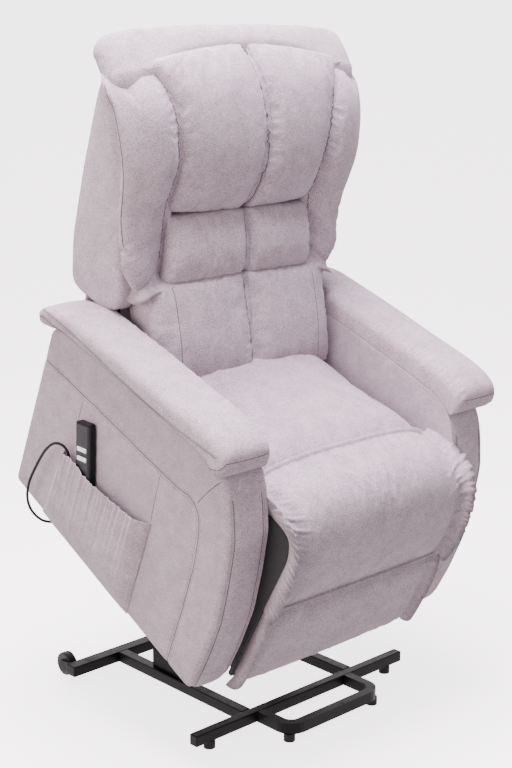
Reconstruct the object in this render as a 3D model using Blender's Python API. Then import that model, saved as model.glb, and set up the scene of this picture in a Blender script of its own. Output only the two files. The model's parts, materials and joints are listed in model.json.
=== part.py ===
"""A lift recliner chair, shown raised and tipped forward on its lift frame.

Metres, +Z up. The chair faces -Y and is symmetrical about X = 0, apart from the
pocket and the handset, which are on the sitter's right (-X). Z = 0 is the floor,
and the origin is below the middle of the raised chair's outer box.

The upholstered chair is drawn upright in its own space and then tipped as one
assembly. In that space Y runs backwards from the bottom front corner of the arms
and Z runs up from their bottom edge.
"""

from math import atan2, cos, dist, hypot, pi, radians, sin

import bmesh
import bpy
from mathutils import Matrix, Vector

# ---------------------------------------------------------------- driving sizes
GAP = 0.0003  # left between pieces that touch

# Floor frame
FRONT_Y = -0.138  # middle of the front tube
GLIDE_HEIGHT = 0.0175
TUBE = 0.0245  # height of every floor tube
FRONT_HALF = 0.315
REAR_HALF = 0.297
REAR_Y = FRONT_Y + 0.449
FRONT_DEPTH = 0.022
REAR_DEPTH = 0.031
RAIL_X = 0.156
RAIL_WIDTH = 0.025
LOOP_HALF = 0.143
LOOP_REACH = 0.112
LOOP_WIDTH = 0.020
LOOP_CORNER = 0.040
GLIDE_RADIUS = 0.0125
ROLLER_RADIUS = 0.027
ROLLER_X = (0.2600, 0.2845)  # inner and outer end of a roller's place

# Lift: two places of the chair's bottom front corner, as (y, z), and the tilt
RAISED_TILT = radians(28)
RAISED = (FRONT_Y - 0.060, 0.1785)
LOWERED = (FRONT_Y - 0.075, 0.082)
LIFT_PIVOT = (FRONT_Y + 0.285, 0.135)
GUIDE_PIVOT = (FRONT_Y + 0.270, 0.195)
LIFT_EYE_Y = 0.075  # in the chair's own space
GUIDE_EYE_Y = 0.140
LIFT_ACTUATOR_FOOT = (FRONT_Y + 0.425, 0.085)
LIFT_ACTUATOR_EYE = (0.170, 0.160)  # in the chair's own space
UPRIGHT_X = (0.153, 0.159)  # each flat bar or plate of the linkage, as a span in x
LIFT_ARM_X = (0.163, 0.171)
GUIDE_LINK_X = (0.1755, 0.1825)
HANGER_X = (0.1865, 0.1925)
LIFT_ARM_RADIUS = 0.017
GUIDE_LINK_RADIUS = 0.013
TORQUE_TUBE_RADIUS = 0.0125
TORQUE_TUBE_SHARE = 0.42  # how far along the arms it is welded
ACTUATOR_LENGTH = 0.300
RUNNING = 0.0004  # between a pin and the wall of its hole

# Chair, in its own space
ARM_IN = 0.273
ARM_OUT = 0.377
PAD_OUT = 0.403
SEAT_HALF = 0.268
BACK_PIVOT = (0.620, 0.300)
LEG_PIVOT = (0.010, 0.350)
PIN = 0.006
LEG_PIN = 0.005
FRONT_MEMBER = (0.190, 0.264)
REAR_MEMBER = (0.500, 0.264)
MEMBER = 0.0125  # half the height of every seat tube
RAIL_IN = 0.236
RAIL_OUT = 0.261
DECK = 0.290  # top of the plywood deck
DECK_HALF = 0.262
PANEL = 0.014
BACK_HALF = 0.262
WING_OUT = 0.302
RECLINE_X = 0.105
RECLINE_FOOT = (0.470, 0.155)
RECLINE_EYE = (0.048, 0.245)
HANDSET_MIDDLE = (-0.38925, 0.4645, 0.230)
HANDSET_SIZE = (0.0205, 0.046, 0.155)
HANDSET_LEAN = radians(-24.9)
BUTTON_HEIGHTS = (0.020, 0.0)
CORD_DIAMETER = 0.006

# The handset's lead, in the chair's own space: down out of the handset inside the
# pocket, up over the hem, round in a loose loop and in under the arm.
CORD_ROUTE = (
    (-0.3893, 0.4240, 0.1428),
    (-0.3893, 0.4188, 0.1310),
    (-0.3893, 0.4180, 0.1160),
    (-0.3893, 0.4230, 0.1020),
    (-0.3893, 0.4350, 0.0930),
    (-0.3893, 0.4500, 0.0930),
    (-0.3893, 0.4650, 0.1010),
    (-0.3893, 0.4770, 0.1150),
    (-0.3893, 0.4870, 0.1340),
    (-0.3893, 0.4950, 0.1560),
    (-0.3893, 0.5030, 0.1780),
    (-0.3920, 0.5100, 0.1980),
    (-0.3980, 0.5180, 0.2120),
    (-0.4050, 0.5280, 0.2175),
    (-0.4100, 0.5385, 0.2140),
    (-0.4120, 0.5480, 0.2030),
    (-0.4120, 0.5565, 0.1870),
    (-0.4120, 0.5635, 0.1670),
    (-0.4115, 0.5690, 0.1440),
    (-0.4110, 0.5735, 0.1190),
    (-0.4110, 0.5770, 0.0930),
    (-0.4100, 0.5790, 0.0680),
    (-0.4080, 0.5780, 0.0440),
    (-0.4040, 0.5730, 0.0210),
    (-0.3970, 0.5640, 0.0020),
    (-0.3870, 0.5530, -0.0110),
    (-0.3750, 0.5430, -0.0195),
    (-0.3630, 0.5360, -0.0225),
    (-0.3525, 0.5305, -0.0210),
    (-0.3462, 0.5278, -0.0145),
    (-0.3455, 0.5275, -0.0052),
)

FABRIC = (0.60, 0.55, 0.56)
BLACK = (0.012, 0.012, 0.013)

for thing in list(bpy.data.objects):
    bpy.data.objects.remove(thing, do_unlink=True)


# ---------------------------------------------------------------- materials
def material(name, colour, roughness, metallic=0.0):
    made = bpy.data.materials.new(name)
    made.use_nodes = True
    shader = made.node_tree.nodes["Principled BSDF"]
    shader.inputs["Base Color"].default_value = (*colour, 1.0)
    shader.inputs["Roughness"].default_value = roughness
    shader.inputs["Metallic"].default_value = metallic
    return made


fabric = material("grey_fabric", FABRIC, 0.95)
steel = material("black_painted_steel", BLACK, 0.38, 0.3)
bright = material("zinc_steel", (0.55, 0.55, 0.56), 0.3, 1.0)
plastic = material("black_plastic", (0.02, 0.02, 0.022), 0.45)
rubber = material("black_rubber", (0.03, 0.03, 0.03), 0.8)
white = material("white_button", (0.85, 0.85, 0.85), 0.4)
wood = material("plywood", (0.55, 0.40, 0.25), 0.7)


# ---------------------------------------------------------------- building tools
def keep(name, mesh_data, look, parent=None):
    """Makes a linked object of a bmesh, shaded smooth up to 30 degrees."""
    bmesh.ops.recalc_face_normals(mesh_data, faces=mesh_data.faces)
    mesh = bpy.data.meshes.new(name)
    mesh_data.to_mesh(mesh)
    mesh_data.free()
    mesh.shade_smooth()
    mesh.set_sharp_from_angle(angle=radians(30))
    mesh.materials.append(look)
    made = bpy.data.objects.new(name, mesh)
    bpy.context.scene.collection.objects.link(made)
    made.parent = parent
    return made


def soften(made, width, segments=2):
    bevel = made.modifiers.new("edges", "BEVEL")
    bevel.width = width
    bevel.segments = segments
    bevel.limit_method = "ANGLE"
    return made


def box(name, low, high, look, parent=None):
    shape = bmesh.new()
    bmesh.ops.create_cube(shape, size=1.0)
    middle = (Vector(low) + Vector(high)) / 2
    size = Vector(high) - Vector(low)
    for vert in shape.verts:
        vert.co = middle + vert.co * size
    return keep(name, shape, look, parent)


def slab(name, outline, x_from, x_to, look, parent=None):
    """A plate of an outline in (y, z), as thick as the span in x."""
    shape = bmesh.new()
    face = shape.faces.new([shape.verts.new((x_from, y, z)) for y, z in outline])
    grown = bmesh.ops.extrude_face_region(shape, geom=[face])["geom"]
    moved = [part for part in grown if isinstance(part, bmesh.types.BMVert)]
    bmesh.ops.translate(shape, verts=moved, vec=(x_to - x_from, 0, 0))
    return keep(name, shape, look, parent)


def rod(name, start, end, radius, look, parent=None, sides=20):
    """A round bar between two points."""
    start, end = Vector(start), Vector(end)
    shape = bmesh.new()
    bmesh.ops.create_cone(
        shape, cap_ends=True, segments=sides, radius1=radius, radius2=radius, depth=(end - start).length
    )
    turn = (end - start).to_track_quat("Z", "Y").to_matrix().to_4x4()
    bmesh.ops.transform(shape, matrix=Matrix.Translation((start + end) / 2) @ turn, verts=shape.verts)
    return keep(name, shape, look, parent)


def helper(made):
    made.hide_render = True
    made.display_type = "WIRE"
    return made


def change(made, other, operation):
    """Joins another solid to this one, or cuts it out, and hides the other."""
    step = made.modifiers.new(operation.lower(), "BOOLEAN")
    step.operation = operation
    step.object = helper(other)
    return made


def arc(middle, radius, start, end, steps):
    """Points (y, z) on an arc, angles in degrees."""
    turns = [radians(start + (end - start) * step / steps) for step in range(steps + 1)]
    return [(middle[0] + radius * cos(turn), middle[1] + radius * sin(turn)) for turn in turns]


def link_outline(first, second, radius, steps=8):
    """A flat bar with round ends about two pivots, both (y, z)."""
    heading = atan2(second[1] - first[1], second[0] - first[0]) * 180 / pi
    return arc(first, radius, heading + 90, heading + 270, steps) + arc(
        second, radius, heading - 90, heading + 90, steps
    )


def span(limits, side):
    """A span in x, on the given side of the chair."""
    return side * limits[0], side * limits[1]


def side_name(side):
    """The sitter's sides: the chair faces -Y, so the right hand is at -X."""
    return "right" if side < 0 else "left"


# ---------------------------------------------------------------- places
def to_floor(point):
    """A point (y, z) of the raised chair's own space, in the floor's space."""
    y, z = point
    return (
        RAISED[0] + y * cos(RAISED_TILT) - z * sin(RAISED_TILT),
        RAISED[1] + y * sin(RAISED_TILT) + z * cos(RAISED_TILT),
    )


def to_chair(point):
    """A point (y, z) of the floor's space, in the raised chair's own space."""
    y, z = point[0] - RAISED[0], point[1] - RAISED[1]
    return (
        y * cos(RAISED_TILT) + z * sin(RAISED_TILT),
        z * cos(RAISED_TILT) - y * sin(RAISED_TILT),
    )


def chair_eye(floor_pivot, y):
    """The point of the chair, at this y, that is as far from a floor pivot when
    the chair is lowered as when it is raised: a rigid link joins the two."""
    raised = to_chair(floor_pivot)
    lowered = (floor_pivot[0] - LOWERED[0], floor_pivot[1] - LOWERED[1])
    middle = ((raised[0] + lowered[0]) / 2, (raised[1] + lowered[1]) / 2)
    across = (lowered[1] - raised[1], raised[0] - lowered[0])
    return (y, middle[1] + across[1] * (y - middle[0]) / across[0])


LIFT_EYE = chair_eye(LIFT_PIVOT, LIFT_EYE_Y)
GUIDE_EYE = chair_eye(GUIDE_PIVOT, GUIDE_EYE_Y)

tipped = bpy.data.objects.new("tipped_chair", None)
bpy.context.scene.collection.objects.link(tipped)
tipped.location = (0, *RAISED)
tipped.rotation_euler = (RAISED_TILT, 0, 0)

TUBE_LOW = GLIDE_HEIGHT
TUBE_TOP = GLIDE_HEIGHT + TUBE


# ---------------------------------------------------------------- floor frame
def floor_frame():
    for name, y, half, depth in (
        ("front_cross_tube", FRONT_Y, FRONT_HALF, FRONT_DEPTH),
        ("rear_cross_tube", REAR_Y, REAR_HALF, REAR_DEPTH),
    ):
        tube = box(name, (-half, y - depth / 2, TUBE_LOW), (half, y + depth / 2, TUBE_TOP), steel)
        soften(tube, 0.002)
        if name == "rear_cross_tube":
            actuator_foot(tube)
    front_face = FRONT_Y + FRONT_DEPTH / 2 + GAP
    rear_face = REAR_Y - REAR_DEPTH / 2 - GAP
    for side in (-1, 1):
        name = side_name(side)
        near, far = sorted((side * (RAIL_X - RAIL_WIDTH / 2), side * (RAIL_X + RAIL_WIDTH / 2)))
        soften(
            box(f"{name}_base_rail", (near, front_face, TUBE_LOW), (far, rear_face, TUBE_TOP), steel),
            0.002,
        )
    front_loop()
    for name, x, y in (
        ("glide_front", FRONT_HALF - 0.045, FRONT_Y),
        ("glide_loop", LOOP_HALF - LOOP_WIDTH / 2 - 0.006, FRONT_Y - LOOP_REACH + 0.020),
    ):
        for side in (-1, 1):
            rod(
                f"{name}_{side_name(side)}",
                (side * x, y, 0),
                (side * x, y, GLIDE_HEIGHT - GAP),
                GLIDE_RADIUS,
                rubber,
            )


def front_loop():
    """A square tube bent into a shallow U ahead of the front tube."""

    def path(half, reach, corner):
        right = [
            (half - corner + corner * cos(turn), FRONT_Y - reach + corner + corner * sin(turn))
            for turn in (radians(-90 * step / 6) for step in range(7))
        ]
        return [(half, FRONT_Y - FRONT_DEPTH / 2 - GAP)] + right

    outer = path(LOOP_HALF, LOOP_REACH, LOOP_CORNER)
    inner = path(LOOP_HALF - LOOP_WIDTH, LOOP_REACH - LOOP_WIDTH, LOOP_CORNER - LOOP_WIDTH)
    outline = outer + [(-x, y) for x, y in reversed(outer)]
    outline += [(-x, y) for x, y in inner] + list(reversed(inner))
    shape = bmesh.new()
    face = shape.faces.new([shape.verts.new((x, y, TUBE_LOW)) for x, y in outline])
    grown = bmesh.ops.extrude_face_region(shape, geom=[face])["geom"]
    moved = [part for part in grown if isinstance(part, bmesh.types.BMVert)]
    bmesh.ops.translate(shape, verts=moved, vec=(0, 0, TUBE))
    keep("front_loop", shape, steel)


def uprights():
    """Plates welded on the rails, each with the two fixed pins of the linkage."""
    profile = ((0.205, TUBE_TOP + GAP), (0.320, TUBE_TOP + GAP), (0.320, 0.150))
    profile += ((0.296, 0.214), (0.258, 0.214), (0.240, 0.130))
    outline = [(FRONT_Y + y, z) for y, z in profile]
    for side in (-1, 1):
        name = side_name(side)
        plate = slab(f"{name}_upright", outline, *span(UPRIGHT_X, side), steel)
        ends = (("lift", LIFT_PIVOT, LIFT_ARM_X), ("guide", GUIDE_PIVOT, GUIDE_LINK_X))
        for label, pivot, bar in ends:
            start, end = side * (UPRIGHT_X[0] + 0.002), side * (bar[1] + 0.0025)
            pin = rod(f"{label}_pin_{name}", (start, *pivot), (end, *pivot), PIN, bright)
            change(plate, pin, "UNION")


def rollers():
    """Wheels behind the rear tube: they carry the rear end, and the chair rolls on
    them when its front is picked up."""
    radius = ROLLER_RADIUS
    y = REAR_Y + REAR_DEPTH / 2 + radius + 0.003
    start = REAR_Y + REAR_DEPTH / 2 + GAP
    for side in (-1, 1):
        name = side_name(side)
        inner, outer = span(ROLLER_X, side)
        outline = [(start, TUBE_LOW), (start, TUBE_TOP)]
        outline += reversed(arc((y, radius), 0.012, -90, 90, 6))
        fork = slab(f"roller_bracket_{name}", outline, outer, outer + side * 0.006, steel)
        hub = (outer + side * 0.003, y, radius)
        axle = rod(f"roller_axle_{name}", hub, (inner, y, radius), 0.004, bright)
        change(fork, axle, "UNION")
        wheel = rod(
            f"transport_roller_{name}",
            (inner + side * 0.002, y, radius),
            (outer - side * 0.002, y, radius),
            radius,
            plastic,
            sides=32,
        )
        hole = rod(
            f"roller_hole_{name}", (inner - side * 0.01, y, radius), (outer, y, radius), 0.0044, plastic
        )
        change(soften(wheel, 0.003), hole, "DIFFERENCE")


# ---------------------------------------------------------------- lift linkage
def drilled_link(name, first, second, radius, x_from, x_to, look, parent=None):
    """A flat bar with a running hole at each end."""
    bar = slab(name, link_outline(first, second, radius), x_from, x_to, look, parent)
    low, high = sorted((x_from, x_to))
    for label, pivot in (("a", first), ("b", second)):
        hole = rod(
            f"{name}_hole_{label}", (low - 0.01, *pivot), (high + 0.01, *pivot), PIN + RUNNING, look, parent
        )
        change(bar, hole, "DIFFERENCE")
    return bar


def linkage():
    """The welded lift frame, two arms and a cross tube, and the two guide links."""
    lift_end = to_floor(LIFT_EYE)
    guide_end = to_floor(GUIDE_EYE)
    middle = [a + (b - a) * TORQUE_TUBE_SHARE for a, b in zip(LIFT_PIVOT, lift_end)]
    end = LIFT_ARM_X[0] + 0.002
    frame = rod("lift_arm_frame", (-end, *middle), (end, *middle), TORQUE_TUBE_RADIUS, steel)
    for side in (-1, 1):
        name = side_name(side)
        arm_span, link_span = span(LIFT_ARM_X, side), span(GUIDE_LINK_X, side)
        arm = drilled_link(f"lift_arm_{name}", LIFT_PIVOT, lift_end, LIFT_ARM_RADIUS, *arm_span, steel)
        change(frame, arm, "UNION")
        drilled_link(f"guide_link_{name}", GUIDE_PIVOT, guide_end, GUIDE_LINK_RADIUS, *link_span, steel)


def actuator(name, foot, eye, x, motor_side, retracts=0.0, parent=None):
    """An electric linear actuator: a motor and gear head, an outer tube, and a
    rod that slides out of it. Foot and eye are (y, z), and retracts is how far the
    rod still slides in."""
    y, z = foot
    run = hypot(eye[0] - y, eye[1] - z)
    along = ((eye[0] - y) / run, (eye[1] - z) / run)
    across = (-along[1] * motor_side, along[0] * motor_side)

    def at(distance, lift=0.0):
        return (y + along[0] * distance + across[0] * lift, z + along[1] * distance + across[1] * lift)

    length = ACTUATOR_LENGTH
    body = rod(f"{name}_body", (x, *at(0.030)), (x, *at(length)), 0.0165, plastic, parent)
    corners = [at(-0.010, -0.016), at(0.070, -0.016), at(0.070, 0.030), at(-0.010, 0.030)]
    head = slab(f"{name}_gear_head", corners, x - 0.024, x + 0.024, plastic, parent)
    motor = rod(f"{name}_motor", (x, *at(0.035)), (x, *at(0.035, 0.100)), 0.020, plastic, parent)
    change(body, head, "UNION")
    change(body, motor, "UNION")
    bore = rod(f"{name}_bore", (x, *at(0.080)), (x, *at(length + 0.02)), 0.0108, plastic, parent)
    change(body, bore, "DIFFERENCE")
    stem_ends = (x, *at(0.086 + retracts)), (x, *at(run - 0.008))
    stem = rod(f"{name}_rod", *stem_ends, 0.0100, bright, parent)
    boss_radius, boss_half = 0.0145, 0.011
    ends = (x - boss_half, *at(run)), (x + boss_half, *at(run))
    change(stem, rod(f"{name}_eye", *ends, boss_radius, bright, parent), "UNION")


def actuator_foot(tube):
    """Two ears on the rear tube hold the lift actuator's lower end."""
    y, z = LIFT_ACTUATOR_FOOT
    outline = [
        (REAR_Y - 0.055, TUBE_TOP - 0.010),
        (REAR_Y + 0.010, TUBE_TOP - 0.010),
        (y + 0.014, z + 0.014),
        (y - 0.014, z + 0.014),
    ]
    for side in (-1, 1):
        ear = slab(f"actuator_ear_{side_name(side)}", outline, side * 0.0262, side * 0.0312, steel)
        change(tube, ear, "UNION")


# ---------------------------------------------------------------- seat frame
def hanging_ears(tube, member, pivot, x, gap):
    """A pair of ears below a cross member, either side of x."""
    y, z = member
    outline = [
        (y - 0.010, z - MEMBER + 0.004),
        (y + 0.010, z - MEMBER + 0.004),
        (pivot[0] + 0.014, pivot[1] - 0.014),
        (pivot[0] - 0.014, pivot[1] - 0.014),
    ]
    for side in (-1, 1):
        near = x + side * gap
        ear = slab(f"{tube.name}_ear", outline, near, near + side * 0.005, steel, tipped)
        change(tube, ear, "UNION")


def seat_frame():
    low_z, high_z = FRONT_MEMBER[1] - MEMBER, FRONT_MEMBER[1] + MEMBER
    for side in (-1, 1):
        seat_rail(side, low_z, high_z)
        lift_hanger(side, low_z)
    for name, member, pivot, x, gap in (
        ("front_seat_member", FRONT_MEMBER, LIFT_ACTUATOR_EYE, 0.0, 0.0135),
        ("rear_seat_member", REAR_MEMBER, RECLINE_FOOT, RECLINE_X, 0.0262),
    ):
        y, half = member[0], RAIL_IN - GAP
        tube = box(name, (-half, y - MEMBER, low_z), (half, y + MEMBER, high_z), steel, tipped)
        hanging_ears(soften(tube, 0.002), member, pivot, x, gap)
    deck_low = high_z + 0.001
    box("seat_deck", (-DECK_HALF, 0.118, deck_low), (DECK_HALF, 0.560, DECK), wood, tipped)
    case_low, case_high = (-0.205, 0.300, deck_low - 0.048), (-0.105, 0.470, deck_low - GAP)
    soften(box("control_box", case_low, case_high, plastic, tipped), 0.006)
    foot, raised = LIFT_ACTUATOR_FOOT, to_floor(LIFT_ACTUATOR_EYE)
    lowered = [corner + eye for corner, eye in zip(LOWERED, LIFT_ACTUATOR_EYE)]
    stroke = dist(foot, raised) - dist(foot, lowered)
    actuator("lift_actuator", foot, raised, 0.0, -1, stroke)
    actuator("recline_actuator", RECLINE_FOOT, RECLINE_EYE, RECLINE_X, 1, 0.0, tipped)


def seat_rail(side, low_z, high_z):
    """A side rail with a lug and pin for the leg rest and a lug for the back."""
    name = side_name(side)
    low, high = sorted((side * RAIL_IN, side * RAIL_OUT))
    rail = box(f"seat_rail_{name}", (low, 0.085, low_z), (high, 0.640, high_z), steel, tipped)
    soften(rail, 0.002)
    y, z = LEG_PIVOT
    leg_lug = [
        (0.110, low_z + 0.004),
        (0.114, high_z - 0.001),
        (0.060, z - 0.015),
        (y + 0.012, z + 0.010),
        (y, z + 0.012),
        (y - 0.010, z + 0.006),
        (y - 0.011, z - 0.005),
        (y - 0.004, z - 0.0135),
        (0.030, z - 0.0155),
        (0.045, z - 0.028),
        (0.086, low_z + 0.004),
    ]
    lug = slab(f"leg_lug_{name}", leg_lug, side * 0.2275, side * 0.2370, steel, tipped)
    pin_ends = (side * 0.2335, y, z), (side * 0.2175, y, z)
    pin = rod(f"leg_pin_{name}", *pin_ends, LEG_PIN, bright, tipped)
    y, z = BACK_PIVOT
    back_lug = [(y - 0.012, high_z - 0.004), (y + 0.016, high_z - 0.004)]
    back_lug += [(y + 0.014, z + 0.012), (y - 0.012, z + 0.012)]
    rear = slab(f"back_lug_{name}", back_lug, side * 0.2380, side * 0.2440, steel, tipped)
    hole_ends = (side * 0.23, y, z), (side * 0.25, y, z)
    hole = rod(f"back_hole_{name}", *hole_ends, PIN + RUNNING, steel, tipped)
    for part in (lug, pin, rear):
        change(rail, part, "UNION")
    change(rail, hole, "DIFFERENCE")


def lift_hanger(side, low_z):
    """The plate below the front member that the lift arms and guide links carry."""
    name = side_name(side)
    eye, guide = LIFT_EYE, GUIDE_EYE
    outline = [
        (eye[0] - 0.018, eye[1] - 0.016),
        (guide[0] + 0.020, guide[1] - 0.020),
        (FRONT_MEMBER[0] + 0.012, low_z - GAP),
        (FRONT_MEMBER[0] - 0.085, low_z - GAP),
        (eye[0] - 0.018, eye[1] + 0.030),
    ]
    hanger = slab(f"lift_hanger_{name}", outline, *span(HANGER_X, side), steel, tipped)
    outer, inner = side * (HANGER_X[0] + 0.0035), side * (LIFT_ARM_X[0] - 0.0015)
    pin = rod(f"hanger_pin_{name}", (outer, *eye), (inner, *eye), PIN, bright, tipped)
    change(hanger, pin, "UNION")


# ---------------------------------------------------------------- upholstery
PAD_LOW = [(0.700, 0.400), (0.637, 0.428), (0.454, 0.452), (0.317, 0.468)]
PAD_LOW += [(0.189, 0.480), (0.152, 0.475), (0.126, 0.462)]
PAD_TOP = [(0.116, 0.486), (0.126, 0.522), (0.160, 0.533), (0.220, 0.530), (0.317, 0.5145)]
PAD_TOP += [(0.454, 0.498), (0.637, 0.470), (0.706, 0.440), (0.724, 0.416)]
ARM_FRONT = [(0.104, 0.440), (0.084, 0.412), (0.052, 0.358), (0.027, 0.276)]
ARM_FRONT += [(0.006, 0.186), (0.0, 0.090), (0.002, 0.010), (0.012, 0.0)]


def lower(points, drop):
    return [(y, z - drop) for y, z in points]


def arms():
    for side in (-1, 1):
        name = side_name(side)
        outline = [(0.655, 0.0), (0.662, 0.010), (0.694, 0.392)] + lower(PAD_LOW[1:], GAP) + ARM_FRONT
        soften(slab(f"arm_{name}", outline, side * ARM_IN, side * ARM_OUT, fabric, tipped), 0.008)
        soften(
            slab(f"arm_pad_{name}", PAD_LOW + PAD_TOP, side * ARM_IN, side * PAD_OUT, fabric, tipped),
            0.012,
        )


def seat():
    deck = DECK + 0.0005
    shape = [(0.158, deck), (0.596, deck), (0.596, 0.380), (0.450, 0.396), (0.300, 0.416)]
    shape += [(0.200, 0.428), (0.158, 0.424)]
    soften(slab("seat_cushion", shape, -SEAT_HALF, SEAT_HALF, fabric, tipped), 0.012)
    roll = [(0.154, deck), (0.154, 0.424), (0.120, 0.434), (0.060, 0.430), (0.015, 0.416)]
    roll += [(-0.004, 0.390), (-0.002, 0.368), (0.105, 0.368), (0.116, deck)]
    soften(slab("seat_front_roll", roll, -SEAT_HALF, SEAT_HALF, fabric, tipped), 0.006)
    apron = box("rear_apron", (-0.270, 0.645, 0.004), (0.270, 0.660, 0.268), fabric, tipped)
    soften(apron, 0.003)


def leg_rest():
    front, back = 0.004, 0.016  # the board's two faces
    top = LEG_PIVOT[1] - 0.020
    box("leg_rest_board", (-0.255, front, -0.012), (0.255, back, top), wood, tipped)
    skin = front - GAP
    lower_pad = [(skin, -0.030), (skin, 0.182), (-0.016, 0.182), (-0.022, 0.120), (-0.020, 0.010)]
    lower_pad += [(-0.012, -0.030)]
    soften(slab("leg_rest_lower_pad", lower_pad, -0.258, 0.258, fabric, tipped), 0.005)
    upper_pad = [(skin, 0.186), (skin, top), (-0.010, top), (-0.020, 0.290), (-0.022, 0.230)]
    upper_pad += [(-0.016, 0.186)]
    soften(slab("leg_rest_pad", upper_pad, -SEAT_HALF, SEAT_HALF, fabric, tipped), 0.005)
    y, z = LEG_PIVOT
    strap = [(back + GAP, 0.200), (0.028, 0.200), (0.028, 0.325)]
    strap += arc((y, z), 0.0115, -10, 230, 8) + [(back + GAP, top + 0.002)]
    for side in (-1, 1):
        name = side_name(side)
        plate = slab(f"leg_rest_strap_{name}", strap, side * 0.2195, side * 0.2255, steel, tipped)
        hole_ends = (side * 0.21, y, z), (side * 0.24, y, z)
        hole = rod(f"strap_hole_{name}", *hole_ends, LEG_PIN + RUNNING, steel, tipped)
        change(plate, hole, "DIFFERENCE")
    y, z = RECLINE_EYE
    base = box(
        "leg_rest_bracket",
        (RECLINE_X - 0.024, back + GAP, z - 0.022),
        (RECLINE_X + 0.024, back + 0.004, z + 0.022),
        steel,
        tipped,
    )
    outline = [(back + 0.002, z - 0.018), (y + 0.012, z - 0.012)]
    outline += [(y + 0.012, z + 0.012), (back + 0.002, z + 0.018)]
    for side in (-1, 1):
        near = RECLINE_X + side * 0.0135
        ear = slab(f"bracket_ear_{side_name(side)}", outline, near, near + side * 0.004, steel, tipped)
        change(base, ear, "UNION")


# ---------------------------------------------------------------- back
PANEL_REAR = [
    (0.716, 0.290),
    (0.740, 0.380),
    (0.762, 0.457),
    (0.800, 0.549),
    (0.831, 0.699),
    (0.855, 0.863),
    (0.848, 0.930),
]


def shifted(points, step):
    return [(y + step, z) for y, z in points]


def back():
    panel = PANEL_REAR + list(reversed(shifted(PANEL_REAR, -PANEL)))
    slab("back_panel", panel, -BACK_HALF, BACK_HALF, fabric, tipped)
    wing = [(0.606, 0.508), (0.644, 0.482)] + PANEL_REAR[2:]
    wing += [(0.800, 0.930), (0.746, 0.860), (0.700, 0.740), (0.650, 0.610)]
    for side in (-1, 1):
        low = side * (BACK_HALF + GAP)
        soften(slab(f"back_wing_{side_name(side)}", wing, low, side * WING_OUT, fabric, tipped), 0.006)
    cushions = (
        (
            "lower_back_cushion",
            [(0.458, 0.404), (0.500, 0.468), (0.562, 0.548), (0.640, 0.548)],
            [(0.640, 0.470), (0.600, 0.404)],
            0.256,
        ),
        (
            "lumbar_cushion",
            [(0.574, 0.560), (0.604, 0.630), (0.640, 0.676), (0.740, 0.676)],
            [(0.700, 0.560)],
            0.212,
        ),
        (
            "head_cushion",
            [(0.646, 0.690), (0.644, 0.782), (0.692, 0.903), (0.749, 0.9565), (0.801, 0.983)]
            + [(0.852, 1.002)],
            [(0.866, 0.970), (0.852, 0.940), (0.790, 0.932), (0.776, 0.850), (0.750, 0.690)],
            0.212,
        ),
    )
    for name, front, rear, half in cushions:
        soften(slab(name, front + rear, -half, half, fabric, tipped), 0.010)
    bolster = [(0.612, 0.556), (0.650, 0.640), (0.664, 0.700), (0.672, 0.782), (0.712, 0.895)]
    bolster += [(0.760, 0.948), (0.810, 0.976), (0.848, 0.978), (0.858, 0.950), (0.848, 0.938)]
    bolster += [(0.800, 0.938), (0.740, 0.858), (0.694, 0.740), (0.644, 0.612)]
    for side in (-1, 1):
        name = side_name(side)
        soften(slab(f"bolster_{name}", bolster, side * 0.214, side * 0.334, fabric, tipped), 0.008)
    back_frame()


def back_frame():
    """Steel straps that carry the back from its two pivots."""
    y, z = BACK_PIVOT
    panel_y, panel_z = PANEL_REAR[3]
    for side in (-1, 1):
        name = side_name(side)
        strap = arc((y, z), 0.020, 150, 330, 8) + [
            (0.690, 0.400),
            (panel_y - PANEL - 0.001, panel_z),
            (0.740, panel_z),
            (0.655, 0.400),
        ]
        plate = slab(f"back_strap_{name}", strap, side * 0.2215, side * 0.2275, steel, tipped)
        pin = rod(f"back_pin_{name}", (side * 0.224, y, z), (side * 0.2450, y, z), PIN, bright, tipped)
        change(plate, pin, "UNION")


# ---------------------------------------------------------------- pocket and handset
def pocket():
    """A pouch on the outside of the right arm, open along its top."""
    seams = [(0.216, 0.004), (0.547, 0.004), (0.540, 0.186)]
    hem = [(0.500, 0.205), (0.452, 0.196), (0.400, 0.203), (0.313, 0.218), (0.247, 0.235)]
    front = [(0.236, 0.200), (0.222, 0.110)]
    pouch = slab("pocket", seams + hem + front, -ARM_OUT - GAP, -PAD_OUT, fabric, tipped)
    room = [(0.220, 0.008), (0.543, 0.008), (0.536, 0.300), (0.2505, 0.300)]
    room += [(0.240, 0.200), (0.226, 0.110)]
    wall = 0.0025
    change(pouch, slab("pocket_room", room, -0.36, wall - PAD_OUT, fabric, tipped), "DIFFERENCE")


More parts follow.
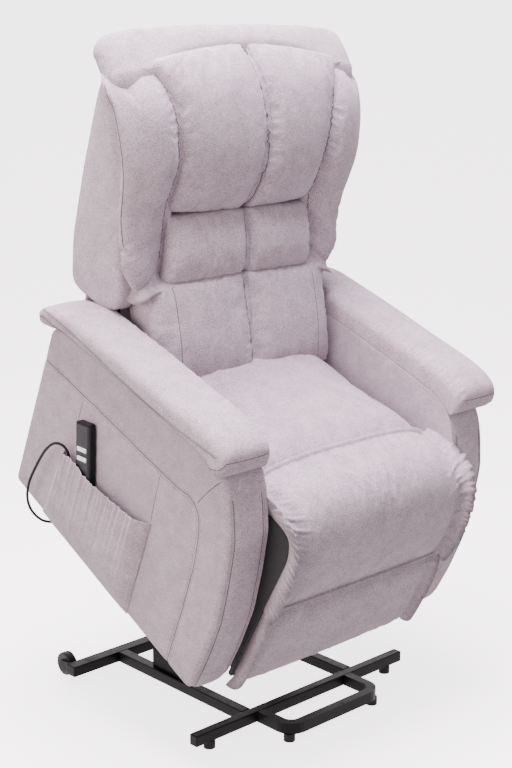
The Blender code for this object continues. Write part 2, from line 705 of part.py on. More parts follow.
def handset():
    """A two-button hand control that stands in the pocket."""
    holder = bpy.data.objects.new("handset_place", None)
    bpy.context.scene.collection.objects.link(holder)
    holder.parent = tipped
    holder.location = HANDSET_MIDDLE
    holder.rotation_euler = (HANDSET_LEAN, 0, 0)
    depth, width, height = (side / 2 for side in HANDSET_SIZE)
    case = box("handset_case", (-depth, -width, -height), (depth, width, height), plastic, holder)
    soften(case, 0.005)
    boot = bmesh.new()
    bmesh.ops.create_cone(
        boot, cap_ends=True, segments=16, radius1=0.0042, radius2=0.0065, depth=0.020
    )
    bmesh.ops.translate(boot, verts=boot.verts, vec=(0, 0, -height - 0.008))
    change(case, keep("handset_boot", boot, plastic, holder), "UNION")
    for number, up in enumerate(BUTTON_HEIGHTS):
        low, high = (-depth - 0.0017, -0.015, up - 0.0045), (-depth + 0.0020, 0.015, up + 0.0045)
        label = ("lift", "recline")[number]
        soften(box(f"{label}_button", low, high, white, holder), 0.0008)
        spare = 0.0004
        recess = box(
            f"{label}_recess",
            (-depth - 0.01, low[1] - spare, low[2] - spare),
            (-depth + 0.0037, high[1] + spare, high[2] + spare),
            plastic,
            holder,
        )
        change(case, recess, "DIFFERENCE")


def smooth_route(points, spacing):
    """Points about this far apart on a smooth curve through the given ones."""
    ends = [points[0] * 2 - points[1], *points, points[-1] * 2 - points[-2]]
    found = [points[0]]
    for first, start, end, last in zip(ends, ends[1:], ends[2:], ends[3:]):
        steps = max(1, round((end - start).length / spacing))
        for step in range(1, steps + 1):
            t = step / steps
            spot = start * 2 + (end - first) * t + (first * 2 - start * 5 + end * 4 - last) * t**2
            found.append((spot + (start * 3 - first - end * 3 + last) * t**3) / 2)
    return found


def cord():
    curve = bpy.data.curves.new("handset_cord", "CURVE")
    curve.dimensions = "3D"
    curve.bevel_depth = CORD_DIAMETER / 2
    curve.bevel_resolution = 2
    curve.use_fill_caps = True
    spline = curve.splines.new("POLY")
    route = smooth_route([Vector(point) for point in CORD_ROUTE], 0.014)
    spline.points.add(len(route) - 1)
    for point, spot in zip(spline.points, route):
        point.co = (*spot, 1)
    curve.materials.append(rubber)
    made = bpy.data.objects.new("handset_cord", curve)
    bpy.context.scene.collection.objects.link(made)
    made.parent = tipped
    x, y, z = CORD_ROUTE[-1]
    rod("cord_grommet", (x, y, z + 0.0006), (x, y, -GAP), 0.0085, rubber, tipped, sides=16)


floor_frame()
uprights()
rollers()
linkage()
seat_frame()
arms()
seat()
leg_rest()
back()
pocket()
handset()
cord()
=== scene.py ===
# %% [markdown]
# # A lift recliner chair
# A riser recliner is an upholstered armchair on a steel frame. An electric actuator
# tips the whole chair forwards to help a person stand up, and a second one lays the
# back down and swings the leg rest out. The metal and the mechanism come from the
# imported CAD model. This notebook loads it and gives it its upholstery, its finishes
# and its small details. Everything is in metres, with +Z up and the chair facing -Y.

# %% Load the frame
import json
from math import cos, pi, radians, sin

import bmesh
import bpy
import numpy as np
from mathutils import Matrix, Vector
from mathutils.bvhtree import BVHTree


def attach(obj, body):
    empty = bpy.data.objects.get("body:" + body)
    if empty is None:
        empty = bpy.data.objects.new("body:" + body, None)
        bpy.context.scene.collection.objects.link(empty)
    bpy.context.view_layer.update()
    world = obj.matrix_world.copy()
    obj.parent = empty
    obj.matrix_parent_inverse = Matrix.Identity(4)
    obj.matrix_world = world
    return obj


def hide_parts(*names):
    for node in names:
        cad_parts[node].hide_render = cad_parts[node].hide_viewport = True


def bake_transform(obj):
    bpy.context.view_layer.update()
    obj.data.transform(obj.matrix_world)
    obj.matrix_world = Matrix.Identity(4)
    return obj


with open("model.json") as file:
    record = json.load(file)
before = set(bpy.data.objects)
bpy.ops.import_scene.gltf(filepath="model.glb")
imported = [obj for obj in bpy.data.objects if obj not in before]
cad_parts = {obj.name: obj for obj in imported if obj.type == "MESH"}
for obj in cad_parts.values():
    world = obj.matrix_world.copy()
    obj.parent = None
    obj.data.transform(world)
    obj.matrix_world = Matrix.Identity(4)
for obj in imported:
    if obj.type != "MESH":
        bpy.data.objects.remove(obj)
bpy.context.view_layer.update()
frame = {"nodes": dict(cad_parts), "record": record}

# %% [markdown]
# ## The camera
# The chair is seen from its front right corner, from a little above the seat. A long
# lens keeps its upright lines nearly parallel.

# %% Camera
CAMERA_TURN = radians(-43.08)  # which way it looks, seen from above


def linked(name, data):
    """A new object of this data, in the scene."""
    made = bpy.data.objects.new(name, data)
    bpy.context.scene.collection.objects.link(made)
    return made


camera = linked("camera", bpy.data.cameras.new("camera"))
camera.location = (-2.173, -2.315, 1.4945)
camera.rotation_euler = (radians(76.11), 0, CAMERA_TURN)
camera.data.lens = 71.09
bpy.context.scene.camera = camera
print("camera stands", round(camera.location.length, 2), "m from the chair")

# %% [markdown]
# ## The tipped chair's own space
# The chair is drawn raised and tipped forwards by 28 degrees. It is far easier to
# shape a cushion while the chair stands level, so every soft piece is built in the
# chair's own space: x across, v backwards and w up from the arms' bottom front
# corner. `tip` then turns the finished points to where the CAD holds them.

# %% From the chair's own space to the floor's
TILT = radians(28)
CORNER = (-0.198, 0.1785)


def tip(points):
    points = np.asarray(points, float)
    v, w = points[..., 1], points[..., 2]
    y = CORNER[0] + v * cos(TILT) - w * sin(TILT)
    z = CORNER[1] + v * sin(TILT) + w * cos(TILT)
    return np.stack([points[..., 0], y, z], -1)


print("the arms' front corner is at", tip((0, 0, 0)).round(4))

# %% [markdown]
# ## Writing shaders as sums
# A procedural material is a long chain of small nodes. Wrapping a socket in a class
# lets Python's own + and * add those nodes, so a mask reads like the formula it is.

# %% A small shader kit
class Value:
    """A shader socket that adds Math nodes when it is used in a sum."""

    def __init__(self, kit, socket):
        self.kit, self.socket = kit, socket

    def math(self, operation, *others):
        wanted = dict(enumerate((self, *others)))
        return self.kit.node("ShaderNodeMath", {"operation": operation}, wanted)

    def __add__(self, other):
        return self.math("ADD", other)

    def __rsub__(self, other):
        return self.kit.node("ShaderNodeMath", {"operation": "SUBTRACT"}, {0: other, 1: self})

    def __mul__(self, other):
        return self.math("MULTIPLY", other)

    __radd__, __rmul__ = __add__, __mul__

    def clamp(self, low=0.0, high=1.0):
        return self.kit.node("ShaderNodeClamp", {}, {"Value": self, "Min": low, "Max": high})

    def between(self, low, high):
        """0 below low, 1 above high and smooth between."""
        settings = {"interpolation_type": "SMOOTHSTEP"}
        return self.kit.node("ShaderNodeMapRange", settings, {0: self, 1: low, 2: high})


class Kit:
    """One material and the nodes that are added to it."""

    def __init__(self, name):
        self.material = bpy.data.materials.new(name)
        self.material.use_nodes = True
        self.tree = self.material.node_tree
        self.shader = self.tree.nodes["Principled BSDF"]

    def node(self, kind, settings, inputs, out=0):
        made = self.tree.nodes.new(kind)
        for key, value in settings.items():
            setattr(made, key, value)
        for key, value in inputs.items():
            if isinstance(value, Value):
                self.tree.links.new(value.socket, made.inputs[key])
            else:
                made.inputs[key].default_value = value
        return Value(self, made.outputs[out])

    def constants(self, **values):
        for key, value in values.items():
            self.shader.inputs[key.replace("_", " ")].default_value = value

    def feed(self, socket, value):
        self.tree.links.new(value.socket, self.shader.inputs[socket])

    def place(self, attribute=None):
        if attribute:
            return self.node("ShaderNodeAttribute", {"attribute_name": attribute}, {}, "Vector")
        return self.node("ShaderNodeTexCoord", {}, {}, "Object")

    def noise(self, place, scale, detail=2.0, roughness=0.5):
        values = {"Vector": place, "Scale": scale, "Detail": detail, "Roughness": roughness}
        return self.node("ShaderNodeTexNoise", {}, values)

    def mix(self, share, first, second):
        """A colour between two colours."""
        values = {0: share, 6: first, 7: second}
        return self.node("ShaderNodeMix", {"data_type": "RGBA"}, values, 2)

    def bump(self, height, distance, strength=1.0):
        values = {"Height": height, "Distance": distance, "Strength": strength}
        self.feed("Normal", self.node("ShaderNodeBump", {}, values))


def colour(red, green, blue):
    """A colour as it looks on a screen, 0 to 255, as the linear one a shader takes."""
    parts = [part / 255 for part in (red, green, blue)]
    return (*[((part + 0.055) / 1.055) ** 2.4 for part in parts], 1.0)


print("a screen grey of 128 is", round(colour(128, 128, 128)[0], 3), "in a shader")

# %% [markdown]
# ## The upholstery cloth
# The cover is a soft brushed weave in pinkish grey. Its yarn is spun from light and
# dark fibres, so up close it is finely flecked, and from further off it is faintly
# clouded where the nap lies in different ways. Three sizes of noise make that: the
# flecks, the yarn and the clouds. The pattern reads each piece's place in the level
# chair, so it doesn't depend on how the chair is tipped.

# %% Upholstery
def upholstery(name, light, dark, fleck=0.55, stretch=(1.0, 1.0, 1.0)):
    kit = Kit(name)
    place = kit.place("cloth")
    placed = kit.node("ShaderNodeMapping", {}, {"Vector": place, "Scale": stretch})
    flecks = kit.noise(placed, 520.0, 3.0, 0.7)
    yarn = kit.noise(placed, 1250.0, 2.0, 0.6)
    cloud = kit.noise(placed, 26.0, 3.0, 0.55)
    nap = kit.noise(placed, 90.0, 2.0, 0.6)
    shade = flecks.between(0.38, 0.62) * fleck + yarn.between(0.36, 0.64) * (0.85 - fleck)
    shade = shade + cloud.between(0.3, 0.7) * 0.14 + nap.between(0.25, 0.75) * 0.10
    kit.feed("Base Color", kit.mix(shade.clamp(), dark, light))
    kit.feed("Roughness", 0.98 - nap * 0.12)
    kit.bump(flecks * 0.6 + yarn * 0.4 + nap * 0.5, 0.0009, 0.55)
    kit.constants(Sheen_Weight=0.18, Sheen_Roughness=0.55, Specular_IOR_Level=0.25)
    return kit.material


cloth = upholstery("brushed_upholstery", colour(200, 182, 193), colour(104, 89, 96))
# A darker copy of the cloth for the folded edges at seams: painted shade in each seam's crease.
seam_shade_cloth = upholstery("seam_shadow", colour(104, 92, 95), colour(74, 64, 66))
thread = upholstery("sewing_thread", colour(150, 138, 142), colour(112, 102, 106))
print("cloth has", len(cloth.node_tree.nodes), "nodes")

# %% [markdown]
# ## The hard finishes
# The floor frame is black powder coat: satin, with a faint orange peel and a little
# dust and rubbing on its edges. The actuators and the handset are moulded plastic
# with a fine spark-eroded texture, the feet are rubber, and the rods are zinc plated.

# %% Steel, plastic, rubber and wood
def powder_coat():
    kit = Kit("black_powder_coat")
    place = kit.place()
    peel = kit.noise(place, 900.0, 2.0)
    dust = kit.noise(place, 38.0, 4.0, 0.65).between(0.52, 0.80)
    edge = kit.node("ShaderNodeNewGeometry", {}, {}, "Pointiness").between(0.53, 0.60)
    worn = (dust * 0.35 + edge * 0.5).clamp()
    kit.feed("Base Color", kit.mix(worn, (0.002, 0.002, 0.002, 1), (0.010, 0.010, 0.011, 1)))
    kit.feed("Roughness", 0.38 + dust * 0.25)
    kit.constants(Specular_IOR_Level=0.05)
    kit.bump(peel, 0.0002, 0.35)
    return kit.material


def moulded(name, base, rough, grain=1500.0, depth=0.00015):
    kit = Kit(name)
    place = kit.place()
    texture = kit.noise(place, grain, 2.0, 0.6)
    wear = kit.noise(place, 60.0, 3.0).between(0.45, 0.75)
    lighter = tuple(min(1.0, part * 1.7 + 0.003) for part in base[:3]) + (1.0,)
    kit.feed("Base Color", kit.mix(wear * 0.5, base, lighter))
    kit.feed("Roughness", wear * 0.15 + rough)
    kit.constants(Specular_IOR_Level=0.14)
    kit.bump(texture, depth, 0.5)
    return kit.material


def zinc():
    kit = Kit("zinc_plated_steel")
    place = kit.place()
    long_noise = kit.node("ShaderNodeMapping", {}, {"Vector": place, "Scale": (1, 0.08, 0.08)})
    drawn = kit.noise(long_noise, 900.0, 3.0)
    kit.feed("Base Color", kit.mix(drawn, (0.42, 0.42, 0.41, 1), (0.62, 0.62, 0.60, 1)))
    kit.feed("Roughness", drawn * 0.2 + 0.22)
    kit.bump(drawn, 0.0001, 0.3)
    kit.constants(Metallic=1.0)
    return kit.material


def plywood():
    kit = Kit("birch_plywood")
    place = kit.place()
    sawn = kit.node("ShaderNodeMapping", {}, {"Vector": place, "Scale": (3, 30, 30)})
    grain = kit.noise(sawn, 9.0, 5.0, 0.6)
    plies = kit.node("ShaderNodeTexWave", {"bands_direction": "Z"},
                     {"Vector": place, "Scale": 160.0})
    shade = (grain * 0.7 + plies * 0.3).clamp()
    kit.feed("Base Color", kit.mix(shade, colour(176, 134, 92), colour(214, 178, 132)))
    kit.feed("Roughness", grain * 0.2 + 0.6)
    kit.bump(grain, 0.0004, 0.4)
    return kit.material


coat = powder_coat()
plastic = moulded("black_moulded_plastic", (0.004, 0.004, 0.005, 1), 0.42)
nylon = moulded("black_nylon", (0.008, 0.008, 0.009, 1), 0.5)
rubber = moulded("black_rubber", (0.009, 0.009, 0.009, 1), 0.72, 2200.0)
button = moulded("white_button_plastic", (0.80, 0.80, 0.80, 1), 0.38, 2500.0, 0.00005)
metal = zinc()
wood = plywood()
lining = upholstery("black_lining", colour(30, 28, 29), colour(14, 13, 14))
print("hard finishes:", [kind.name for kind in (coat, plastic, nylon, rubber, button, metal, wood)])

# %% Give the CAD nodes their finishes
FINISH = {
    "black_steel": coat,
    "bright_steel": metal,
    "black_plastic": plastic,
    "roller_plastic": nylon,
    "black_rubber": rubber,
    "white_button": button,
    "plywood": wood,
    "upholstery": cloth,
}
slots = {part["node"]: part["material_slot"] for part in frame["record"]["subparts"]}
for name, node in frame["nodes"].items():
    for place in node.material_slots:
        place.material = lining if name == "seat_deck" else FINISH[slots[name]]
    if slots[name] == "upholstery" or name == "seat_deck":
        spots = np.empty(len(node.data.vertices) * 3, np.float32)
        node.data.vertices.foreach_get("co", spots)
        level = node.data.attributes.new("cloth", "FLOAT_VECTOR", "POINT")
        level.data.foreach_set("vector", spots)
print(len(slots), "CAD nodes have a finish")

# %% [markdown]
# ## The handset's lead
# A free cord is the fussiest piece, so it comes first. This one is 6 mm flex. It
# drops out of the handset inside the pocket, turns up over the hem, hangs in a short
# loose loop outside and goes in under the arm through a grommet. It is a curve of one
# smooth line, rounded by its bevel.

# %% The lead
LEAD = 0.006
ROUTE = (
    (-0.3893, 0.4240, 0.1428), (-0.3893, 0.4188, 0.1310), (-0.3893, 0.4180, 0.1160),
    (-0.3893, 0.4230, 0.1020), (-0.3893, 0.4350, 0.0930), (-0.3893, 0.4500, 0.0930),
    (-0.3893, 0.4650, 0.1010), (-0.3893, 0.4770, 0.1150), (-0.3893, 0.4870, 0.1340),
    (-0.3893, 0.4950, 0.1560), (-0.3893, 0.5030, 0.1780), (-0.3920, 0.5100, 0.1980),
    (-0.3980, 0.5180, 0.2120), (-0.4050, 0.5280, 0.2175), (-0.4100, 0.5385, 0.2140),
    (-0.4120, 0.5480, 0.2030), (-0.4120, 0.5565, 0.1870), (-0.4120, 0.5635, 0.1670),
    (-0.4115, 0.5690, 0.1440), (-0.4110, 0.5735, 0.1190), (-0.4110, 0.5770, 0.0930),
    (-0.4100, 0.5790, 0.0680), (-0.4080, 0.5780, 0.0440), (-0.4040, 0.5730, 0.0210),
    (-0.3970, 0.5640, 0.0020), (-0.3870, 0.5530, -0.0110), (-0.3750, 0.5430, -0.0195),
    (-0.3630, 0.5360, -0.0225), (-0.3525, 0.5305, -0.0210), (-0.3462, 0.5278, -0.0145),
    (-0.3455, 0.5275, -0.0052),
)


def spline(points, count, closed=False):
    """count points, evenly spaced, on a smooth curve through the given ones."""
    points = np.asarray(points, float)
    if closed:
        ends = np.vstack([points[-1:], points, points[:2]])
    else:
        ends = np.vstack([2 * points[0] - points[1], points, 2 * points[-1] - points[-2]])
    t = np.linspace(0, 1, 24, endpoint=False)[:, None]
    fine = []
    for a, b, c, d in zip(ends, ends[1:], ends[2:], ends[3:]):
        fine.append(b + (c - a) * t / 2 + (2 * a - 5 * b + 4 * c - d) * t**2 / 2
                    + (3 * b - a - 3 * c + d) * t**3 / 2)
    fine = np.vstack([*fine, points[:1] if closed else points[-1:]])
    run = np.append(0, np.cumsum(np.linalg.norm(np.diff(fine, axis=0), axis=1)))
    wanted = np.linspace(0, run[-1], count, endpoint=not closed)
    return np.stack([np.interp(wanted, run, axis) for axis in fine.T], -1)


def round_curve(name, points, radius, material):
    curve = bpy.data.curves.new(name, "CURVE")
    curve.dimensions = "3D"
    curve.bevel_depth = radius
    curve.bevel_resolution = 3
    curve.use_fill_caps = True
    line = curve.splines.new("POLY")
    line.points.add(len(points) - 1)
    for point, spot in zip(line.points, points):
        point.co = (*spot, 1)
    curve.materials.append(material)
    return linked(name, curve)


lead_line = tip(spline(ROUTE, 90))
lead = round_curve("handset_lead", lead_line, LEAD / 2, rubber)
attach(lead, "chair_frame")
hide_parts("handset_cord")

# %% [markdown]
# ## Shaping soft pieces
# A cushion is drawn as a patch: a few sections across it, each a smooth profile, with
# the surface running through them all. Near its sewn edges the patch dives inwards on
# a quarter circle, which is how a stuffed cover meets its seam, and short puckers
# stand across the seam where the cloth was eased in. The patch then gets a back and
# sides, so that it is one closed piece.

# %% Patches
def patch(sections, across, along):
    """A grid of points [across, along] through sections, each a list of points."""
    rows = np.stack([spline(section, along) for section in sections])
    return np.stack([spline(rows[:, column], across) for column in range(along)], 1)


def normals(grid):
    """Unit normals of a grid of points, [across] x [along]."""
    turned = np.cross(np.gradient(grid, axis=0), np.gradient(grid, axis=1))
    return turned / np.maximum(np.linalg.norm(turned, axis=-1, keepdims=True), 1e-12)


def runs(grid, axis):
    """Each point's distance along the surface from the grid's first edge and last."""
    steps = np.linalg.norm(np.diff(grid, axis=axis), axis=-1)
    zero = np.zeros_like(np.take(steps, [0], axis))
    first = np.concatenate([zero, np.cumsum(steps, axis)], axis)
    return first, np.take(first, [-1], axis) - first


def quarter(distance, radius):
    """How deep a quarter circle lies at this distance from its foot."""
    if radius <= 0:
        return np.zeros_like(distance)
    inside = np.clip(radius - distance, 0, radius)
    return radius - np.sqrt(radius**2 - inside**2)


def wave(values, seed):
    """A smooth random wave of about -1 to 1 along values, which are in radians."""
    random = np.random.default_rng(seed)
    total = np.zeros_like(values)
    for rate in (1.0, 1.73, 2.61):
        total += np.sin(values * rate + random.uniform(0, 2 * pi)) / 1.9
    return total


PUCKER_PITCH, PUCKER_REACH = 0.016, 0.035  # how far apart puckers stand, and how far in they go


def crowned(grid, radii, puckers, seed):
    """The grid with its four edges rounded inwards and puckered. The edges are, in
    order: first across, last across, first along, last along."""
    out = normals(grid)
    edges = [*runs(grid, 0), *runs(grid, 1)]
    depth = np.zeros(grid.shape[:2])
    for number, (distance, radius, pucker) in enumerate(zip(edges, radii, puckers)):
        depth = np.maximum(depth, quarter(distance, radius))
        if pucker:
            along = edges[2] if number < 2 else edges[0]
            ripple = wave(along * 2 * pi / PUCKER_PITCH, seed + number)
            depth = depth + pucker * ripple * np.exp(-distance / PUCKER_REACH) * (distance > 0)
    return grid - out * depth[..., None], out


def channel(grid, out, distance, depth, width):
    """Presses a sewn channel into a grid. distance is each point's from the seam."""
    return grid - out * (depth * np.exp(-((distance / width) ** 2)))[..., None]


print("a quarter circle of 10 mm is", quarter(np.zeros(1), 0.010)[0], "m deep at its foot")

# %% Closed meshes
def hand(side):
    """x grows towards the chair's left hand side."""
    return "left" if side > 0 else "right"


def mesh_piece(name, points, faces, material, held=None):
    """An object of points in the chair's own space, which it keeps as the place that
    the cloth's pattern reads, and of faces, turned outwards. held is how firmly each
    point stays put, 0 to 1, when the piece is blown up."""
    mesh = bpy.data.meshes.new(name)
    mesh.from_pydata(tip(points).tolist(), [], faces)
    stored = [("cloth", "FLOAT_VECTOR", "vector", points)]
    if held is not None:
        stored.append(("held", "FLOAT", "value", held))
    for label, kind, field, values in stored:
        attribute = mesh.attributes.new(label, kind, "POINT")
        attribute.data.foreach_set(field, np.asarray(values, np.float32).ravel())
    shape = bmesh.new()
    shape.from_mesh(mesh)
    bmesh.ops.remove_doubles(shape, verts=shape.verts, dist=1e-6)
    bmesh.ops.recalc_face_normals(shape, faces=shape.faces)
    shape.to_mesh(mesh)
    shape.free()
    mesh.shade_smooth()
    mesh.materials.append(material)
    return linked(name, mesh)


def sheet_faces(rows, columns, start=0, wrap=False):
    """Quads over a grid of points numbered row by row; wrap joins the last column."""
    found = []
    for row in range(rows - 1):
        for column in range(columns if wrap else columns - 1):
            next_column = (column + 1) % columns
            a, b = start + row * columns, start + (row + 1) * columns
            found.append((a + column, a + next_column, b + next_column, b + column))
    return found


def stuffed(name, front, back, held=None):
    """A closed piece from a front grid and a back grid of the same size. The back is
    held firmly, and the front as firmly as held says."""
    rows, columns = front.shape[:2]
    if held is not None:
        held = np.concatenate([held.ravel(), np.ones(rows * columns)])
    points = np.vstack([front.reshape(-1, 3), back.reshape(-1, 3)])
    faces = sheet_faces(rows, columns) + sheet_faces(rows, columns, rows * columns)
    rim = [(0, c) for c in range(columns)] + [(r, columns - 1) for r in range(1, rows)]
    rim += [(rows - 1, c) for c in range(columns - 2, -1, -1)]
    rim += [(r, 0) for r in range(rows - 2, 0, -1)]
    ring = [row * columns + column for row, column in rim]
    for first, second in zip(ring, ring[1:] + ring[:1]):
        faces.append((first, second, second + rows * columns, first + rows * columns))
    return mesh_piece(name, points, faces, cloth, held)


def ringed(name, rings, material=cloth, flat_ends=False):
    """A closed piece of rings of points. Each end closes on its own middle, or is one
    flat face, which suits an outline that bends like a banana."""
    rings = np.asarray(rings)
    count, sides = rings.shape[:2]
    faces = sheet_faces(count, sides, 0, wrap=True)
    if flat_ends:
        faces += [tuple(range(sides)), tuple(range((count - 1) * sides, count * sides))]
        return mesh_piece(name, rings.reshape(-1, 3), faces, material)
    points = np.vstack([rings.reshape(-1, 3), rings[0].mean(0), rings[-1].mean(0)])
    first, last = count * sides, count * sides + 1
    for side in range(sides):
        after = (side + 1) % sides
        faces.append((first, side, after))
        faces.append((last, first - sides + after, first - sides + side))
    return mesh_piece(name, points, faces, material)


print("helpers for soft pieces are ready")

# %% [markdown]
# ## Blowing a cover up
# Real creases come from cloth that is a little too big for its filling and is held
# along its seams. Blender's Cloth does the same: the seams and the back are pinned,
# the cloth is let out by a few per cent, and pressure from inside lifts the front. The
# result is kept as plain points, no further than a cap from where they began.

# %% Cloth simulation
def inflate(piece, cap=0.012, pressure=4.0, let_out=0.03, steps=20):
    """Blows a piece up, moving no point further than cap."""
    mesh = piece.data
    pins = piece.vertex_groups.new(name="held")
    for number, point in enumerate(mesh.attributes["held"].data):
        if point.value > 0:
            pins.add([number], min(1.0, point.value), "REPLACE")
    fabric = piece.modifiers.new("fabric", "CLOTH")
    settings = fabric.settings
    settings.quality = 4
    settings.mass = 0.4
    settings.tension_stiffness = settings.compression_stiffness = 12
    settings.shear_stiffness = 4
    settings.bending_stiffness = 0.15
    settings.air_damping = 3
    settings.use_pressure = True
    settings.uniform_pressure_force = pressure
    settings.shrink_min = -let_out
    settings.vertex_group_mass = "held"
    settings.effector_weights.gravity = 0
    fabric.point_cache.frame_end = steps
    for frame_number in range(1, steps + 1):
        bpy.context.scene.frame_set(frame_number)
    graph = bpy.context.evaluated_depsgraph_get()
    moved = piece.evaluated_get(graph).to_mesh()
    count = len(mesh.vertices) * 3
    before, after = np.empty(count, np.float32), np.empty(count, np.float32)
    mesh.vertices.foreach_get("co", before)
    moved.vertices.foreach_get("co", after)
    step = (after - before).reshape(-1, 3)
    far = np.linalg.norm(step, axis=1, keepdims=True)
    share = np.minimum(1.0, cap * np.tanh(far / cap) / np.maximum(far, 1e-9))
    piece.modifiers.remove(fabric)
    bpy.context.scene.frame_set(1)
    mesh.vertices.foreach_set("co", (before.reshape(-1, 3) + step * share).ravel())
    mesh.update()
    piece.vertex_groups.clear()
    print(piece.name, "swelled by up to", round(float(far.max()) * 1000, 1), "mm")


# %% [markdown]
# ## The back
# The back is sewn from separate stuffed chambers: a tall head cushion, a lumbar
# cushion and a lower cushion down the middle, each split by a seam, a bolster down
# each side, and a roll over the top that closes them all. Making each chamber a piece
# of its own gives the deep creases between them without any sculpting.

# %% Sizes of the back
SEAM_X = 0.205  # the seam between the middle and the bolsters
SEAT_HALF = 0.262  # half the width between the arms
HEAD_BOW = 0.022  # how far the head cushion's middle seam bends sideways
HEAD = [(0.652, 0.674), (0.639, 0.700), (0.637, 0.745), (0.640, 0.790), (0.656, 0.840),
        (0.682, 0.888), (0.715, 0.930), (0.752, 0.962), (0.800, 0.989)]
LUMBAR = [(0.577, 0.556), (0.573, 0.586), (0.586, 0.620), (0.606, 0.652), (0.640, 0.690)]
LOWER = [(0.446, 0.380), (0.458, 0.410), (0.480, 0.448), (0.508, 0.488), (0.540, 0.528),
         (0.572, 0.572)]
INTO_BACK = np.array((0.0, 0.070, -0.015))  # from a cushion's front to its hidden back
RECEDE = 0.016  # how far a cushion's sides lie behind its middle
SEWN = 0.012  # how far from a seam the cloth still hardly moves


def seam_x(height):
    """The seam between the middle and a bolster stands straight, then flares."""
    return np.interp(height, [0.56, 0.80, 0.90, 0.96], [1.0, 1.0, 1.08, 1.22]) * SEAM_X


def across(profile, half, drop, trim):
    """Sections of a profile (v, w). Towards the sides they recede, drop and are cut
    short at the top by the share trim."""
    fine = spline(profile, 80)
    sections = []
    for share in (-1, -0.8, -0.5, -0.2, 0.2, 0.5, 0.8, 1):
        kept = fine[: 80 - int(80 * trim * share**2)]
        sections.append([(half * share, v + RECEDE * share**4, w + drop * share**2)
                         for v, w in kept])
    return sections


def held_edges(grid, lines=()):
    """1 at the sewn edges and along each sewn line, and 0 further in."""
    firm = np.zeros(grid.shape[:2])
    for distance in (*runs(grid, 0), *runs(grid, 1), *lines):
        firm = np.maximum(firm, np.clip(1 - np.abs(distance) / SEWN, 0, 1))
    return firm


def back_cushion(name, node, profile, half, size, drop, seam, radii, puckers, seed, trim=0.0):
    """A cushion of the back's middle, with a sewn channel that follows seam(t)."""
    grid = patch(across(profile, half, drop, trim), *size)
    grid[..., 0] *= seam_x(grid[..., 2]) / SEAM_X
    line = grid[:, :, 0] - seam(np.linspace(0, 1, size[1]))[None, :]
    made, out = crowned(grid, radii, puckers, seed)
    made = channel(made, out, line, depth=0.010, width=0.011)
    tuck = wave(runs(grid, 1)[0] * 2 * pi / 0.020 + np.sign(line), seed + 9)
    made = made - out * (0.0003 * tuck * np.exp(-np.abs(line) / 0.02))[..., None]
    back = grid * (0.97, 1, 1) + INTO_BACK
    piece = stuffed(name, made, back, held_edges(grid, [line]))
    inflate(piece)
    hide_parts(node)
    return piece


def dress(piece, body):
    """What a padded piece ends with."""
    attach(piece, body)
    print(piece.name, len(piece.data.polygons), "faces")


# %% Head, lumbar and lower cushions
head = back_cushion("head_cushion_cover", "head_cushion", HEAD, SEAM_X, (84, 66), 0.004,
                    lambda t: HEAD_BOW * np.sin(pi * t), (0.014, 0.014, 0.012, 0.006),
                    (0.0005, 0.0009, 0.0012, 0.0002), 3, 0.13)
lumbar = back_cushion("lumbar_cushion_cover", "lumbar_cushion", LUMBAR, SEAM_X, (84, 32), -0.012,
                      lambda t: 0.004 * t + 0.002, (0.014, 0.014, 0.012, 0.009),
                      (0.0016, 0.0016, 0.0012, 0.0008), 5)
lower = back_cushion("lower_back_cushion_cover", "lower_back_cushion", LOWER, SEAT_HALF, (100, 44),
                     -0.020, lambda t: 0.010 * (1 - t), (0.026, 0.026, 0.010, 0.010),
                     (0.0010, 0.0010, 0.0, 0.0008), 7)
for piece in (head, lumbar, lower):
    dress(piece, "back")

# %% [markdown]
# ## The bolsters and the top roll
# Each bolster is a long stuffed tube, fullest at its outer edge and gathered at its
# lower end, where it curls in to the middle seam. Its outline widens from the waist to
# the shoulder. The top roll lies over the ends of both bolsters and the head cushion.

# %% Bolsters
EDGE = [(0.478, 0.280), (0.566, 0.303), (0.696, 0.322), (0.827, 0.3385), (0.921, 0.352),
        (0.966, 0.343)]  # how wide the back is at each height
SPINE = [(0.612, 0.545), (0.624, 0.590), (0.640, 0.640), (0.654, 0.690), (0.655, 0.740),
         (0.657, 0.790), (0.672, 0.840), (0.697, 0.888), (0.734, 0.924), (0.780, 0.948)]


def outer_edge(height):
    return np.interp(height, *zip(*EDGE))


def rim_back(height):
    """How far the bolster's outer edge lies behind its inner one."""
    return np.interp(height, [0.545, 0.69, 0.83, 0.93], [-0.024, 0.004, 0.030, 0.050])


